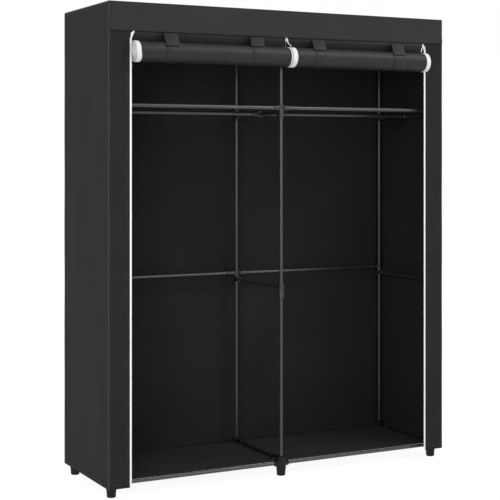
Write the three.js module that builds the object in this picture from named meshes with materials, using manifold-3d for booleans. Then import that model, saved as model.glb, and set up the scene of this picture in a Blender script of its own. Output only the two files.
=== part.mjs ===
// Portable two-bay fabric wardrobe: a push-fit frame of steel tubes and moulded connectors,
// dressed with a sewn non-woven cover whose two front doors are rolled up under the header.
// Millimetres. +Z up, +X to the right, +Y to the back. The origin is on the floor, in the
// middle of the whole object's width and depth, the rolled doors counted in.

import * as THREE from 'three';
import { mergeVertices } from 'three/addons/utils/BufferGeometryUtils.js';
import Module from 'manifold-3d';

const wasm = await Module();
wasm.setup();

// Clearances
const gap = 0.3;                  // between pieces that touch
const tubeFit = 0.3;              // all round a tube in its socket or sleeve
const cutOverrun = 1;             // a cut passes the face that it opens by this much

// Cover
const coverWidth = 1400;
const coverDepth = 450;
const overallHeight = 1720;
const coverHemHeight = 36;        // floor to the cover's lower edge
const clothThickness = 1.2;
const headerHeight = 92;          // front band above the doors
const jambWidth = 78;             // fixed front strip at each side of the doorway

// Tubes
const postDiameter = 13;
const railDiameter = 13;          // bottom, middle and top rails, and all depth bars
const frontRailDiameter = 16;
const rodDiameter = 16;
const tubeWall = 0.9;
const tubeSides = 12;

// Where the tubes stand and lie
const postInset = 26;             // cover's side to the post's axis
const postSetback = 42;           // cover's front or back to the post's axis
const bottomRailHeight = 45;
const midBarHeight = 697;
const midRailRise = 25;           // middle depth bars up to the rear middle rails
const upperBarHeight = 1346;      // upper depth bars and the hanging rods they carry
const frontRailRise = 18;         // upper depth bars up to the front rails

// Moulded connectors
const armWall = 3.4;              // plastic round a tube in a socket
const postWall = 2;               // plastic between the post and a socket's blind end
const insertion = 20;             // how far a tube goes into its socket
const sleeveDiameter = 24;
const sleeveChamfer = 2;
const midSleeveSkirt = 41.5;      // depth bar's axis down to the front sleeve's lower end
const midSleeveRim = 15.5;        // depth bar's axis to the nearer end of a middle sleeve
const midSleeveHead = 16.5;       // rear rail's axis up to the rear sleeve's upper end
const upperSleeveSkirt = 19;      // upper depth bar's axis down to the sleeve's lower end
const upperSleeveHead = 13;       // front rail's axis up to the sleeve's upper end
const rearArmLength = 45;         // long sockets of the rear middle rails
const topSleeveLength = 38;

// Feet
const footPadDiameter = 32;
const footDiameter = 37;
const footShoulderHeight = 30;    // above this the leg is round and straight
const footEdgeRound = 3;
const footFloor = 10;             // plastic under the post
const gussetWidth = 16;
const gussetReach = 50;           // post's axis to the tip of the curved web and the socket above
const gussetFoot = 7;             // height of the web's root above the floor
const gussetSteps = 6;

// Rod holders on the upper depth bars
const holderLength = 34;          // along the depth bar
const holderDiameter = 24;
const holderArmReach = 26;        // bar's axis to the mouth of the rod's socket
const rodInsertion = 12;

// Floor sheet
const sheetOverlap = 8;           // past the axes of the rails and of the side bars
const notchClearance = 6;         // round the feet and their sockets

// Rolled doors
const rollRadius = 38;
const rollForward = 15;           // roll's axis in front of the cover's front plane
const rollDrop = 79;              // roll's axis below the header's edge
const rollCloth = 1.6;            // one wound layer
const rollCoreRadius = 7.2;       // hollow middle
const rollTurns = 6;
const rollStepsPerTurn = 16;
const zipRollWidth = 18;          // zip tape at each end of a roll
const doorMiddleGap = 5;          // between the two doors
const rollEndGap = 3.3;           // roll's end to the jamb's zip tape

// Straps that hold the rolls, and the cloth between header and roll
const strapWidth = 50;
const strapThickness = 1.5;
const strapEndInset = 130;        // door's end to the middle of its nearest strap
const strapSteps = 24;

// Zips
const jambZipWidth = 7;
const sliderWidth = 9.5;
const sliderHeight = 12;
const sliderWall = 1.4;
const sliderBridge = 2.5;
const sliderTop = 14;             // header's edge to a jamb slider's upper end
const pullWidth = 5;
const pullLength = 24;
const pullThickness = 1.2;
const pullStandoff = 2;
const centreSliderTop = 5;        // header's edge to the middle slider's upper end
const centreSliderWidth = 12;

// Worked-out places
const frontReach = rollForward + rollRadius + gap + strapThickness;
const frontPlane = (frontReach - coverDepth) / 2;
const backPlane = frontPlane + coverDepth;
const frontPostY = frontPlane + postSetback;
const rearPostY = backPlane - postSetback;
const sidePlane = coverWidth / 2;
const sidePostX = sidePlane - postInset;
const headerEdge = overallHeight - headerHeight;
const railRadius = railDiameter / 2;
const armDiameter = railDiameter + 2 * tubeFit + 2 * armWall;
const armRadius = armDiameter / 2;
const sheetBottom = bottomRailHeight + railRadius + gap;
const bottomBarHeight = sheetBottom + clothThickness + gap + railRadius;
const footHeight = bottomBarHeight + armRadius;
const midRailHeight = midBarHeight + midRailRise;
const frontRailHeight = upperBarHeight + frontRailRise;
const topRailHeight = overallHeight - clothThickness - gap - armRadius;
const blindEnd = postDiameter / 2 + tubeFit + postWall; // post's axis to a socket's end
const armReach = blindEnd + insertion;
const tubeStart = blindEnd + gap;                       // post's axis to a tube's end
const rollHeight = headerEdge - rollDrop;
const rollY = frontPlane - rollForward;
const zipEdgeX = sidePlane - jambWidth - gap;
const doorOuterX = zipEdgeX - jambZipWidth - rollEndGap;
const doorInnerX = doorMiddleGap / 2;
const barMiddleY = (frontPostY + rearPostY) / 2;
const seamTop = headerEdge - gap;

const columns = [
  { name: 'left', x: -sidePostX, inward: [1] },
  { name: 'middle', x: 0, inward: [-1, 1] },
  { name: 'right', x: sidePostX, inward: [-1] },
];
const rows = [
  { name: 'front', y: frontPostY, inward: 1 },
  { name: 'rear', y: rearPostY, inward: -1 },
];
const bays = [
  { name: 'left', side: -1, from: -sidePostX, to: 0 },
  { name: 'right', side: 1, from: 0, to: sidePostX },
];

// Materials
function finish(color, roughness, metalness) {
  return new THREE.MeshStandardMaterial({ color, roughness, metalness, flatShading: true });
}
const paintedSteel = () => finish(0x8a8a8c, 0.42, 0.25);
const chromedSteel = () => finish(0xa4a5a8, 0.3, 0.5);
const mouldedPlastic = () => finish(0x1e1e20, 0.55, 0);
const nonWoven = () => finish(0x363636, 0.92, 0);
const liningCloth = () => finish(0x262626, 0.95, 0);
const zipTape = () => finish(0xf4f4f2, 0.7, 0);

// Booleans: a closed geometry becomes a solid, and a solid becomes a geometry again
function solid(geometry) {
  const bare = geometry.clone();
  bare.deleteAttribute('normal');
  bare.deleteAttribute('uv');
  const merged = mergeVertices(bare);
  return new wasm.Manifold(new wasm.Mesh({
    numProp: 3,
    vertProperties: new Float32Array(merged.attributes.position.array),
    triVerts: new Uint32Array(merged.index.array),
  }));
}

function geometryOf(manifold) {
  const mesh = manifold.getMesh();
  const geometry = new THREE.BufferGeometry();
  geometry.setAttribute('position', new THREE.BufferAttribute(new Float32Array(mesh.vertProperties), 3));
  geometry.setIndex(new THREE.BufferAttribute(new Uint32Array(mesh.triVerts), 1));
  return geometry;
}

function joined(solids) {
  return solids.reduce((whole, next) => whole.add(next));
}

function cutBy(whole, holes) {
  return holes.reduce((rest, hole) => rest.subtract(hole), whole);
}

// A shape made along +Z is turned to lie along x, y or z
function turnTo(axis, geometry) {
  if (axis === 'x') geometry.rotateY(Math.PI / 2);
  if (axis === 'y') geometry.rotateX(-Math.PI / 2);
  return geometry;
}

// Round bar along an axis between two stations, about the axis through (x, y, z)
function bar(axis, diameter, from, to, x, y, z) {
  const geometry = new THREE.CylinderGeometry(diameter / 2, diameter / 2, Math.abs(to - from), tubeSides);
  geometry.rotateX(Math.PI / 2);
  geometry.translate(0, 0, (from + to) / 2);
  turnTo(axis, geometry);
  geometry.translate(x, y, z);
  return solid(geometry);
}

function box(x0, x1, y0, y1, z0, z1) {
  const geometry = new THREE.BoxGeometry(x1 - x0, y1 - y0, z1 - z0);
  geometry.translate((x0 + x1) / 2, (y0 + y1) / 2, (z0 + z1) / 2);
  return solid(geometry);
}

// Turned solid about +Z from [radius, height] points that start and end on the axis
function turned(points, sides) {
  const profile = points.map(([radius, height]) => new THREE.Vector2(radius, height));
  const geometry = new THREE.LatheGeometry(profile, sides);
  geometry.rotateX(Math.PI / 2);
  return solid(geometry);
}

// Outline of [a, b] points, extruded along +X from x0 to x1, with a on +Y and b on +Z
function slab(points, x0, x1) {
  const shape = new THREE.Shape(points.map(([a, b]) => new THREE.Vector2(a, b)));
  const geometry = new THREE.ExtrudeGeometry(shape, { depth: x1 - x0, bevelEnabled: false });
  geometry.rotateX(Math.PI / 2);
  geometry.rotateZ(Math.PI / 2);
  geometry.translate(x0, 0, 0);
  return geometry;
}

function piece(name, geometry, material) {
  const mesh = new THREE.Mesh(geometry, material);
  mesh.name = name;
  return mesh;
}

// Hollow steel tube along an axis, its middle at the mesh's position
function tube(name, axis, diameter, length, material) {
  const outer = diameter / 2;
  const inner = outer - tubeWall;
  const half = length / 2;
  const profile = [[inner, -half], [outer, -half], [outer, half], [inner, half], [inner, -half]];
  const points = profile.map(([radius, height]) => new THREE.Vector2(radius, height));
  const geometry = new THREE.LatheGeometry(points, tubeSides);
  geometry.rotateX(Math.PI / 2);
  return piece(name, turnTo(axis, geometry), material);
}

// Sleeve round a post, centred on the local origin, with chamfered rims and no bore yet
function sleeve(span) {
  const radius = sleeveDiameter / 2;
  const half = lengthOf(span) / 2;
  const rim = radius - sleeveChamfer;
  return turned([
    [0, -half], [rim, -half], [radius, sleeveChamfer - half],
    [radius, half - sleeveChamfer], [rim, half], [0, half],
  ], tubeSides);
}

function postBore(from, to) {
  return bar('z', postDiameter + 2 * tubeFit, from, to, 0, 0, 0);
}

function sleeveBore(span) {
  const half = lengthOf(span) / 2 + cutOverrun;
  return postBore(-half, half);
}

// Where the sleeves reach on the posts
const frontMidSpan = { foot: midBarHeight - midSleeveSkirt, head: midBarHeight + midSleeveRim };
const rearMidSpan = { foot: midBarHeight - midSleeveRim, head: midRailHeight + midSleeveHead };
const upperSpan = { foot: upperBarHeight - upperSleeveSkirt, head: frontRailHeight + upperSleeveHead };
const lengthOf = (span) => span.head - span.foot;
const middleOf = (span) => (span.foot + span.head) / 2;

// A socket arm points from the post's axis along x or y, one way or the other, at a height
function arm({ axis, way, height, reach, diameter }) {
  return bar(axis, diameter + 2 * tubeFit + 2 * armWall, 0, way * reach, 0, 0, height);
}

function armBore({ axis, way, height, reach, diameter }) {
  return bar(axis, diameter + 2 * tubeFit, way * blindEnd, way * (reach + cutOverrun), 0, 0, height);
}

// Moulded connector: a body, its arms, and a bore for the post and for each arm's tube
function connector(name, body, arms, bores) {
  const whole = joined([body, ...arms.map(arm)]);
  return piece(name, geometryOf(cutBy(whole, [...bores, ...arms.map(armBore)])), mouldedPlastic());
}

const part = new THREE.Group();
const frame = new THREE.Group();
const dressing = new THREE.Group();
part.add(frame, dressing);

// Posts: steel tubes end to end, from the feet to the top connectors
const postFoot = footFloor + gap;
const postHead = topRailHeight - blindEnd - gap;

function post(column, row) {
  const length = postHead - postFoot;
  const mesh = tube(`post_${column.name}_${row.name}`, 'z', postDiameter, length, paintedSteel());
  mesh.position.set(column.x, row.y, (postFoot + postHead) / 2);
  return mesh;
}

// Feet: a tapered leg with a blind bore, sockets for the bottom rails and for the depth bar,
// and a curved web that runs up to the depth bar's socket
function gusset(way) {
  const top = bottomBarHeight;
  const root = footPadDiameter / 2;
  const run = gussetReach - root;
  const rise = bottomBarHeight - armRadius - gussetFoot;
  const outline = [[0, top], [0, gussetFoot], [root, gussetFoot]];
  for (let step = 1; step <= gussetSteps; step += 1) {
    const turn = (step / gussetSteps) * (Math.PI / 2);
    outline.push([root + run * (1 - Math.cos(turn)), gussetFoot + rise * Math.sin(turn)]);
  }
  outline.push([gussetReach, top]);
  const geometry = slab(outline, -gussetWidth / 2, gussetWidth / 2);
  if (way < 0) geometry.rotateZ(Math.PI);
  return solid(geometry);
}

function foot(column, row) {
  const pad = footPadDiameter / 2;
  const leg = footDiameter / 2;
  const rim = leg - footEdgeRound;
  const body = turned([
    [0, 0], [pad - footEdgeRound, 0], [pad, footEdgeRound], [leg, footShoulderHeight],
    [leg, footHeight - footEdgeRound], [rim, footHeight], [0, footHeight],
  ], tubeSides);
  const arms = column.inward.map((way) => ({
    axis: 'x', way, height: bottomRailHeight, reach: armReach, diameter: railDiameter,
  }));
  arms.push({
    axis: 'y', way: row.inward, height: bottomBarHeight, reach: gussetReach, diameter: railDiameter,
  });
  const mesh = connector(
    `foot_${column.name}_${row.name}`,
    body.add(gusset(row.inward)),
    arms,
    [postBore(footFloor, footHeight + cutOverrun)],
  );
  mesh.position.set(column.x, row.y, 0);
  return mesh;
}

// Middle connectors: a sleeve on each post with a socket for the depth bar, and at the
// back with long sockets for the rear rails
function midConnector(column, row) {
  const rear = row.name === 'rear';
  const span = rear ? rearMidSpan : frontMidSpan;
  const middle = middleOf(span);
  const arms = [{
    axis: 'y', way: row.inward, height: midBarHeight - middle, reach: armReach, diameter: railDiameter,
  }];
  if (rear) {
    column.inward.forEach((way) => arms.push({
      axis: 'x', way, height: midRailHeight - middle, reach: rearArmLength, diameter: railDiameter,
    }));
  }
  const mesh = connector(
    `mid_connector_${column.name}_${row.name}`,
    sleeve(span),
    arms,
    [sleeveBore(span)],
  );
  mesh.position.set(column.x, row.y, middle);
  return mesh;
}

// Upper front connectors: a sleeve with sockets for the front rails and the depth bar
function upperConnector(column) {
  const middle = middleOf(upperSpan);
  const arms = column.inward.map((way) => ({
    axis: 'x', way, height: frontRailHeight - middle, reach: armReach, diameter: frontRailDiameter,
  }));
  arms.push({
    axis: 'y', way: 1, height: upperBarHeight - middle, reach: armReach, diameter: railDiameter,
  });
  const mesh = connector(
    `upper_connector_${column.name}_front`,
    sleeve(upperSpan),
    arms,
    [sleeveBore(upperSpan)],
  );
  mesh.position.set(column.x, frontPostY, middle);
  return mesh;
}

// Upper crossbars: the depth bar, the rod holder at its middle and its rear connector in one
function upperCrossbar(column) {
  const start = frontPostY + tubeStart - rearPostY;
  const holderY = barMiddleY - rearPostY;
  const rise = middleOf(upperSpan) - upperBarHeight;
  const rodMouth = rodDiameter + 2 * tubeFit;
  const rodArm = (way) => bar('x', rodMouth + 2 * armWall, 0, way * holderArmReach, 0, holderY, 0);
  const rodBore = (way) => bar(
    'x', rodMouth, way * (holderArmReach - rodInsertion), way * (holderArmReach + cutOverrun), 0, holderY, 0,
  );
  const whole = joined([
    sleeve(upperSpan).translate([0, 0, rise]),
    bar('y', railDiameter, start, 0, 0, 0, 0),
    bar('y', armDiameter, -armReach, 0, 0, 0, 0),
    bar('y', holderDiameter, holderY - holderLength / 2, holderY + holderLength / 2, 0, 0, 0),
    ...column.inward.map(rodArm),
  ]);
  const bores = [
    sleeveBore(upperSpan).translate([0, 0, rise]),
    bar('y', railDiameter - 2 * tubeWall, start - cutOverrun, -blindEnd, 0, 0, 0),
    ...column.inward.map(rodBore),
  ];
  const mesh = piece(`upper_crossbar_${column.name}`, geometryOf(cutBy(whole, bores)), paintedSteel());
  mesh.position.set(column.x, rearPostY, upperBarHeight);
  return mesh;
}

// Top rails, front and back: both bays' tubes with their three connectors, pushed together
function topRail(row) {
  const hollow = railDiameter - 2 * tubeWall;
  const solids = [bar('x', railDiameter, -sidePostX, sidePostX, 0, 0, 0)];
  const bores = [bar('x', hollow, -sidePostX, sidePostX, 0, 0, 0)];
  columns.forEach((column) => {
    solids.push(
      bar('z', armDiameter, -topSleeveLength, 0, column.x, 0, 0),
      bar('y', armDiameter, 0, row.inward * armReach, column.x, 0, 0),
      ...column.inward.map((way) => bar('x', armDiameter, column.x, column.x + way * armReach, 0, 0, 0)),
    );
    bores.push(
      bar('z', postDiameter + 2 * tubeFit, -topSleeveLength - cutOverrun, -blindEnd, column.x, 0, 0),
      bar('z', hollow, -blindEnd - cutOverrun, 0, column.x, 0, 0),
      bar(
        'y', railDiameter + 2 * tubeFit,
        row.inward * blindEnd, row.inward * (armReach + cutOverrun), column.x, 0, 0,
      ),
    );
  });
  const mesh = piece(`top_rail_${row.name}`, geometryOf(cutBy(joined(solids), bores)), paintedSteel());
  mesh.position.set(0, row.y, topRailHeight);
  return mesh;
}

// Straight tubes between two columns or two rows
function rail(name, bay, y, height, diameter, startGap, material) {
  const length = bay.to - bay.from - 2 * startGap;
  const mesh = tube(name, 'x', diameter, length, material);
  mesh.position.set((bay.from + bay.to) / 2, y, height);
  return mesh;
}

function depthBar(name, column, height) {
  const mesh = tube(name, 'y', railDiameter, rearPostY - frontPostY - 2 * tubeStart, paintedSteel());
  mesh.position.set(column.x, barMiddleY, height);
  return mesh;
}

columns.forEach((column) => {
  rows.forEach((row) => {
    frame.add(post(column, row), foot(column, row), midConnector(column, row));
  });
  frame.add(
    upperConnector(column),
    upperCrossbar(column),
    depthBar(`bottom_depth_bar_${column.name}`, column, bottomBarHeight),
    depthBar(`mid_depth_bar_${column.name}`, column, midBarHeight),
    depthBar(`top_depth_bar_${column.name}`, column, topRailHeight),
  );
});
rows.forEach((row) => frame.add(topRail(row)));
bays.forEach((bay) => {
  const rodStart = holderArmReach - rodInsertion + gap;
  const thin = [railDiameter, tubeStart, paintedSteel()];
  const thick = [frontRailDiameter, tubeStart, chromedSteel()];
  const rod = [rodDiameter, rodStart, chromedSteel()];
  frame.add(
    rail(`bottom_rail_front_${bay.name}`, bay, frontPostY, bottomRailHeight, ...thin),
    rail(`bottom_rail_rear_${bay.name}`, bay, rearPostY, bottomRailHeight, ...thin),
    rail(`mid_rail_rear_${bay.name}`, bay, rearPostY, midRailHeight, ...thin),
    rail(`front_rail_${bay.name}`, bay, frontPostY, frontRailHeight, ...thick),
    rail(`hanging_rod_${bay.name}`, bay, barMiddleY, upperBarHeight, ...rod),
  );
});

// Floor sheet: lies on the bottom rails, under the depth bars, cut out round the feet
function floorSheet() {
  const sideEdge = sidePostX + sheetOverlap;
  const frontEdge = frontPostY - sheetOverlap;
  const backEdge = rearPostY + sheetOverlap;
  const top = sheetBottom + clothThickness;
  const notchX = armReach + notchClearance;
  const notchY = footDiameter / 2 + notchClearance;
  const socketX = armRadius + notchClearance;
  const socketY = gussetReach + notchClearance;
  const cuts = [];
  columns.forEach((column) => rows.forEach((row) => {
    [[notchX, notchY], [socketX, socketY]].forEach(([x, y]) => cuts.push(box(
      column.x - x, column.x + x, row.y - y, row.y + y, sheetBottom - cutOverrun, top + cutOverrun,
    )));
  }));
  const whole = box(-sideEdge, sideEdge, frontEdge, backEdge, sheetBottom, top);
  return piece('floor_sheet', geometryOf(cutBy(whole, cuts)), liningCloth());
}

// Cover: one sewn shell, open below and between the jambs
function cover() {
  const inset = clothThickness;
  const outer = box(-sidePlane, sidePlane, frontPlane, backPlane, coverHemHeight, overallHeight);
  const inner = box(
    inset - sidePlane, sidePlane - inset, frontPlane + inset, backPlane - inset,
    coverHemHeight - cutOverrun, overallHeight - inset,
  );
  const doorway = sidePlane - jambWidth;
  const opening = box(
    -doorway, doorway, frontPlane - cutOverrun, frontPlane + inset + cutOverrun,
    coverHemHeight - cutOverrun, headerEdge,
  );
  return piece('cover', geometryOf(outer.subtract(inner).subtract(opening)), nonWoven());
}

// Outline of a band of even thickness along a path of [y, z] points
function band(path, thickness) {
  const outer = [];
  const inner = [];
  path.forEach(([y, z], index) => {
    const [beforeY, beforeZ] = path[Math.max(index - 1, 0)];
    const [afterY, afterZ] = path[Math.min(index + 1, path.length - 1)];
    const offset = thickness / 2 / Math.hypot(afterY - beforeY, afterZ - beforeZ);
    const offY = (beforeZ - afterZ) * offset;
    const offZ = (afterY - beforeY) * offset;
    outer.push([y + offY, z + offZ]);
    inner.unshift([y - offY, z - offZ]);
  });
  return [...outer, ...inner];
}

// Angle at which a line from the seam touches a circle round the roll; way 1 is behind it
function touch(fromY, radius, way) {
  const along = Math.atan2(seamTop - rollHeight, fromY - rollY);
  return along - way * Math.acos(radius / Math.hypot(fromY - rollY, seamTop - rollHeight));
}

function onRoll(radius, angle) {
  return [rollY + radius * Math.cos(angle), rollHeight + radius * Math.sin(angle)];
}

const flapMiddle = rollRadius + gap + clothThickness / 2;
const flapTopY = frontPlane + clothThickness / 2;
const flapAngle = touch(flapTopY, flapMiddle, 1);
const flapFoot = onRoll(flapMiddle, flapAngle);
const flapLean = Math.atan2(flapFoot[0] - flapTopY, seamTop - flapFoot[1]);

// Wound cloth: a spiral from where the flap reaches the roll, down the back, under and up
// the front, each turn one pitch further in
function windingPath() {
  const outermost = rollRadius - rollCloth / 2;
  const pitch = (outermost - rollCoreRadius) / rollTurns;
  const path = [];
  for (let step = 0; step <= rollTurns * rollStepsPerTurn; step += 1) {
    const turns = step / rollStepsPerTurn;
    const radius = outermost - pitch * turns;
    const angle = flapAngle - 2 * Math.PI * turns;
    path.push([radius * Math.cos(angle), radius * Math.sin(angle)]);
  }
  return path;
}

// Least distance between points of one turn and the next, less one layer
function leastWoundGap(path) {
  let least = Infinity;
  path.forEach(([y, z], index) => {
    for (let other = index + rollStepsPerTurn / 2; other < path.length; other += 1) {
      least = Math.min(least, Math.hypot(path[other][0] - y, path[other][1] - z));
    }
  });
  return least - rollCloth;
}

const woundPath = windingPath();
console.log(`least gap between wound turns: ${leastWoundGap(woundPath).toFixed(2)} mm`);

// One wound piece of a door between two distances from the wardrobe's middle
function wound(name, side, from, to, material) {
  const ends = [side * from, side * to].sort((a, b) => a - b);
  const mesh = piece(name, slab(band(woundPath, rollCloth), ...ends), material);
  mesh.position.set(0, rollY, rollHeight);
  return mesh;
}

function rolledDoor(bay) {
  const zipInner = doorInnerX + zipRollWidth;
  const zipOuter = doorOuterX - zipRollWidth;
  return [
    wound(`door_${bay.name}_roll`, bay.side, zipInner + gap, zipOuter - gap, nonWoven()),
    wound(`door_${bay.name}_zip_inner`, bay.side, doorInnerX, zipInner, zipTape()),
    wound(`door_${bay.name}_zip_outer`, bay.side, zipOuter, doorOuterX, zipTape()),
  ];
}

// Flap: the door's cloth from the header's seam to the roll, with the two straps that are
// sewn into the same seam, pass in front of the roll and under it, and meet the cloth behind
function flap(bay) {
  const ends = [bay.side * doorInnerX, bay.side * doorOuterX].sort((a, b) => a - b);
  const solids = [solid(slab(band([[flapTopY, seamTop], flapFoot], clothThickness), ...ends))];
  const strapMiddle = rollRadius + gap + strapThickness / 2;
  const strapTopY = flapTopY - strapThickness / 2;
  const start = touch(strapTopY, strapMiddle, -1);
  const sweep = flapAngle + 2 * Math.PI - start;
  const path = [[strapTopY, seamTop]];
  for (let step = 0; step <= strapSteps; step += 1) {
    path.push(onRoll(strapMiddle, start + (sweep * step) / strapSteps));
  }
  [doorInnerX + strapEndInset, doorOuterX - strapEndInset].forEach((distance) => {
    const middle = bay.side * distance;
    solids.push(solid(slab(band(path, strapThickness), middle - strapWidth / 2, middle + strapWidth / 2)));
  });
  return piece(`door_${bay.name}_flap`, geometryOf(joined(solids)), nonWoven());
}

// Jamb zips: the fixed half of each side zip, along the inner edge of the front strip
function jambZip(bay) {
  const middle = bay.side * (zipEdgeX - jambZipWidth / 2);
  const geometry = new THREE.BoxGeometry(jambZipWidth, clothThickness, seamTop - coverHemHeight);
  const mesh = piece(`jamb_zip_${bay.name}`, geometry, zipTape());
  mesh.position.set(middle, frontPlane + clothThickness / 2, (seamTop + coverHemHeight) / 2);
  return mesh;
}

// Zip slider about its own middle: two plates joined by a web from webFrom to webTo, and a
// pull that hangs in front from a lug
function slider(name, width, webFrom, webTo) {
  const inner = clothThickness / 2 + gap;
  const outer = inner + sliderWall;
  const half = sliderHeight / 2;
  const pullBack = -outer - pullStandoff;
  const whole = joined([
    box(-width / 2, width / 2, -outer, -inner, -half, half),
    box(-width / 2, width / 2, inner, outer, -half, half),
    box(webFrom, webTo, -outer, outer, -half, half),
    box(-pullWidth / 2, pullWidth / 2, pullBack, -inner - sliderWall / 2, 0, half),
    box(-pullWidth / 2, pullWidth / 2, pullBack - pullThickness, pullBack, half - pullLength, half),
  ]);
  return piece(name, geometryOf(whole), zipTape());
}

function jambSlider(bay) {
  const edge = zipEdgeX - jambZipWidth - gap;
  const middle = edge - sliderBridge + sliderWidth / 2;
  const web = [bay.side * (edge - middle), bay.side * (edge - sliderBridge - middle)].sort((a, b) => a - b);
  const mesh = slider(`zip_slider_${bay.name}`, sliderWidth, ...web);
  const height = headerEdge - sliderTop - sliderHeight / 2;
  mesh.position.set(bay.side * middle, frontPlane + clothThickness / 2, height);
  return mesh;
}

// The middle slider waits at the top, on the inner edges of both doors' cloth
function centreSlider() {
  const web = doorInnerX - gap;
  const mesh = slider('zip_slider_centre', centreSliderWidth, -web, web);
  const down = centreSliderTop + sliderHeight / 2;
  mesh.position.set(0, flapTopY + down * Math.tan(flapLean), headerEdge - down);
  mesh.rotation.x = flapLean;
  return mesh;
}

dressing.add(floorSheet(), cover(), centreSlider());
bays.forEach((bay) => dressing.add(flap(bay), ...rolledDoor(bay), jambZip(bay), jambSlider(bay)));

export default part;
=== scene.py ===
# %% [markdown]
# # A two-bay fabric wardrobe
# Thin steel tubes are pushed into moulded plastic connectors, and the frame that they make is
# dressed with a sewn cover of black spun-bonded cloth. Two front doors are rolled up under the
# header and held by straps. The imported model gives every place, so each piece below is worked
# out from the boxes of its nodes. All sizes are in millimetres, as on a maker's drawing, and
# turn into Blender's metres once, when a mesh is made.

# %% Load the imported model
import math

import bmesh
import bpy
import numpy as np
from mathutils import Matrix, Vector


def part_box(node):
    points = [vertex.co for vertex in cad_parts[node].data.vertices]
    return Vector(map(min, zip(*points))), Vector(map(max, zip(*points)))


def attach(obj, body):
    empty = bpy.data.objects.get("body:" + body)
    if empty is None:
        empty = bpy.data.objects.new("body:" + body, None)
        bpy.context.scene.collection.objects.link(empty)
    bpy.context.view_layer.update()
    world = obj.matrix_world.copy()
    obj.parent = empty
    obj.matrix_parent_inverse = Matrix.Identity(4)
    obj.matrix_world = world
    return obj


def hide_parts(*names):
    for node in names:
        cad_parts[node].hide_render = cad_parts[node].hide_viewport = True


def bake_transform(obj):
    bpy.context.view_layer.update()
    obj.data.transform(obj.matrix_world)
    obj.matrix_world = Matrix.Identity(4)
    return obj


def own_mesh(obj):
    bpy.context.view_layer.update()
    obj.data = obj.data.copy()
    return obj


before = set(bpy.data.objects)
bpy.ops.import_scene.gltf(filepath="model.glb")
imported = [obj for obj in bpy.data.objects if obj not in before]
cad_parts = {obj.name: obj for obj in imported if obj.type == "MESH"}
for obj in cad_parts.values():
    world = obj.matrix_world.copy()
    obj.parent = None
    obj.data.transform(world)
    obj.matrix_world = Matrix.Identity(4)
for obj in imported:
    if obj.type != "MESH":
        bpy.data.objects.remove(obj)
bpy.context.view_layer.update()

mm = 0.001
X, Y, Z = np.eye(3)


def box_of(node):
    """Lowest corner, highest corner and middle of a node, in millimetres."""
    low, high = (np.array(corner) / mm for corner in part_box(node))
    return low, high, (low + high) / 2


# %% [markdown]
# ## Camera
# The photograph is taken from the left, at about two thirds of the wardrobe's height. The
# camera is level, which keeps the posts upright, and its lens is shifted instead of tilted.
# Its place, turn and lens come from fitting a pinhole camera to the corners, feet and posts.

# %% Make the camera
image_width = 500
focal_pixels = 1296.0
horizon_row = 155.3
sensor = 36.0
camera_place = (-2.333, -4.371, 1.188)
camera_turn = -27.59

camera_data = bpy.data.cameras.new("camera")
camera_data.sensor_width = sensor
camera_data.lens = focal_pixels / image_width * sensor
camera_data.shift_y = (horizon_row - image_width / 2) / image_width
camera = bpy.data.objects.new("camera", camera_data)
camera.location = camera_place
camera.rotation_euler = (math.radians(90), 0, math.radians(camera_turn))
bpy.context.collection.objects.link(camera)
bpy.context.scene.camera = camera
print(f"lens {camera_data.lens:.1f} mm, shift {camera_data.shift_y:.3f}")

# %% [markdown]
# ## Three ways to make a surface
# Blender's own cylinders and cubes would each need moving, cutting and bevelling. A grid of
# points that is computed at once says the same in one formula, and it keeps its exact size.
# So each form here is one of three: a profile turned about an axis, a section carried along
# a path, or an outline given a thickness. A part is its points and its blocks of faces.

# %% Quads of a grid, and the lathe
def surface(points, close_rows=False, close_columns=False):
    """Quads between neighbours in a (rows, columns, 3) grid. A closed direction also joins
    its last line of points to its first."""
    rows, columns = points.shape[:2]
    index = np.arange(rows * columns).reshape(rows, columns)
    if close_rows:
        index = np.vstack([index, index[:1]])
    if close_columns:
        index = np.hstack([index, index[:, :1]])
    quads = np.stack([index[:-1, :-1], index[1:, :-1], index[1:, 1:], index[:-1, 1:]], -1)
    return points.reshape(-1, 3), [quads.reshape(-1, 4)]


def turned(profile, origin, axis, sides=40, closed=True):
    """Lathe: point(i, t) = origin + distance_i * axis + radius_i * (cos t * a + sin t * b),
    for a profile of [radius, distance] and two directions a and b square to the axis."""
    profile, axis = np.asarray(profile, float), np.asarray(axis, float)
    a = Y if abs(axis[2]) > 0.9 else Z
    b = np.cross(axis, a)
    t = np.linspace(0, 2 * np.pi, sides, endpoint=False)[:, None]
    ring = np.cos(t) * a + np.sin(t) * b
    points = origin + profile[:, 1, None, None] * axis + profile[:, 0, None, None] * ring
    return surface(points, closed, True)


# %% A section along a path, and an outline with a thickness
def with_ends(part, count):
    """Closes a tube of rings of count points with one flat face at each end."""
    points, blocks = part
    first = np.arange(count)[None]
    return points, [*blocks, first, first + len(points) - count]


def swept(section, path, across):
    """Point(i, j) = path_i + section_j,0 * across + section_j,1 * out_i, where out_i is
    square to the path and to the fixed direction across."""
    path, section = np.asarray(path, float), np.asarray(section, float)
    out = np.cross(np.gradient(path, axis=0), across)
    out /= np.linalg.norm(out, axis=1)[:, None]
    points = path[:, None] + section[:, :1] * across + section[:, 1:] * out[:, None]
    return with_ends(surface(points, False, True), len(section))


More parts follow.
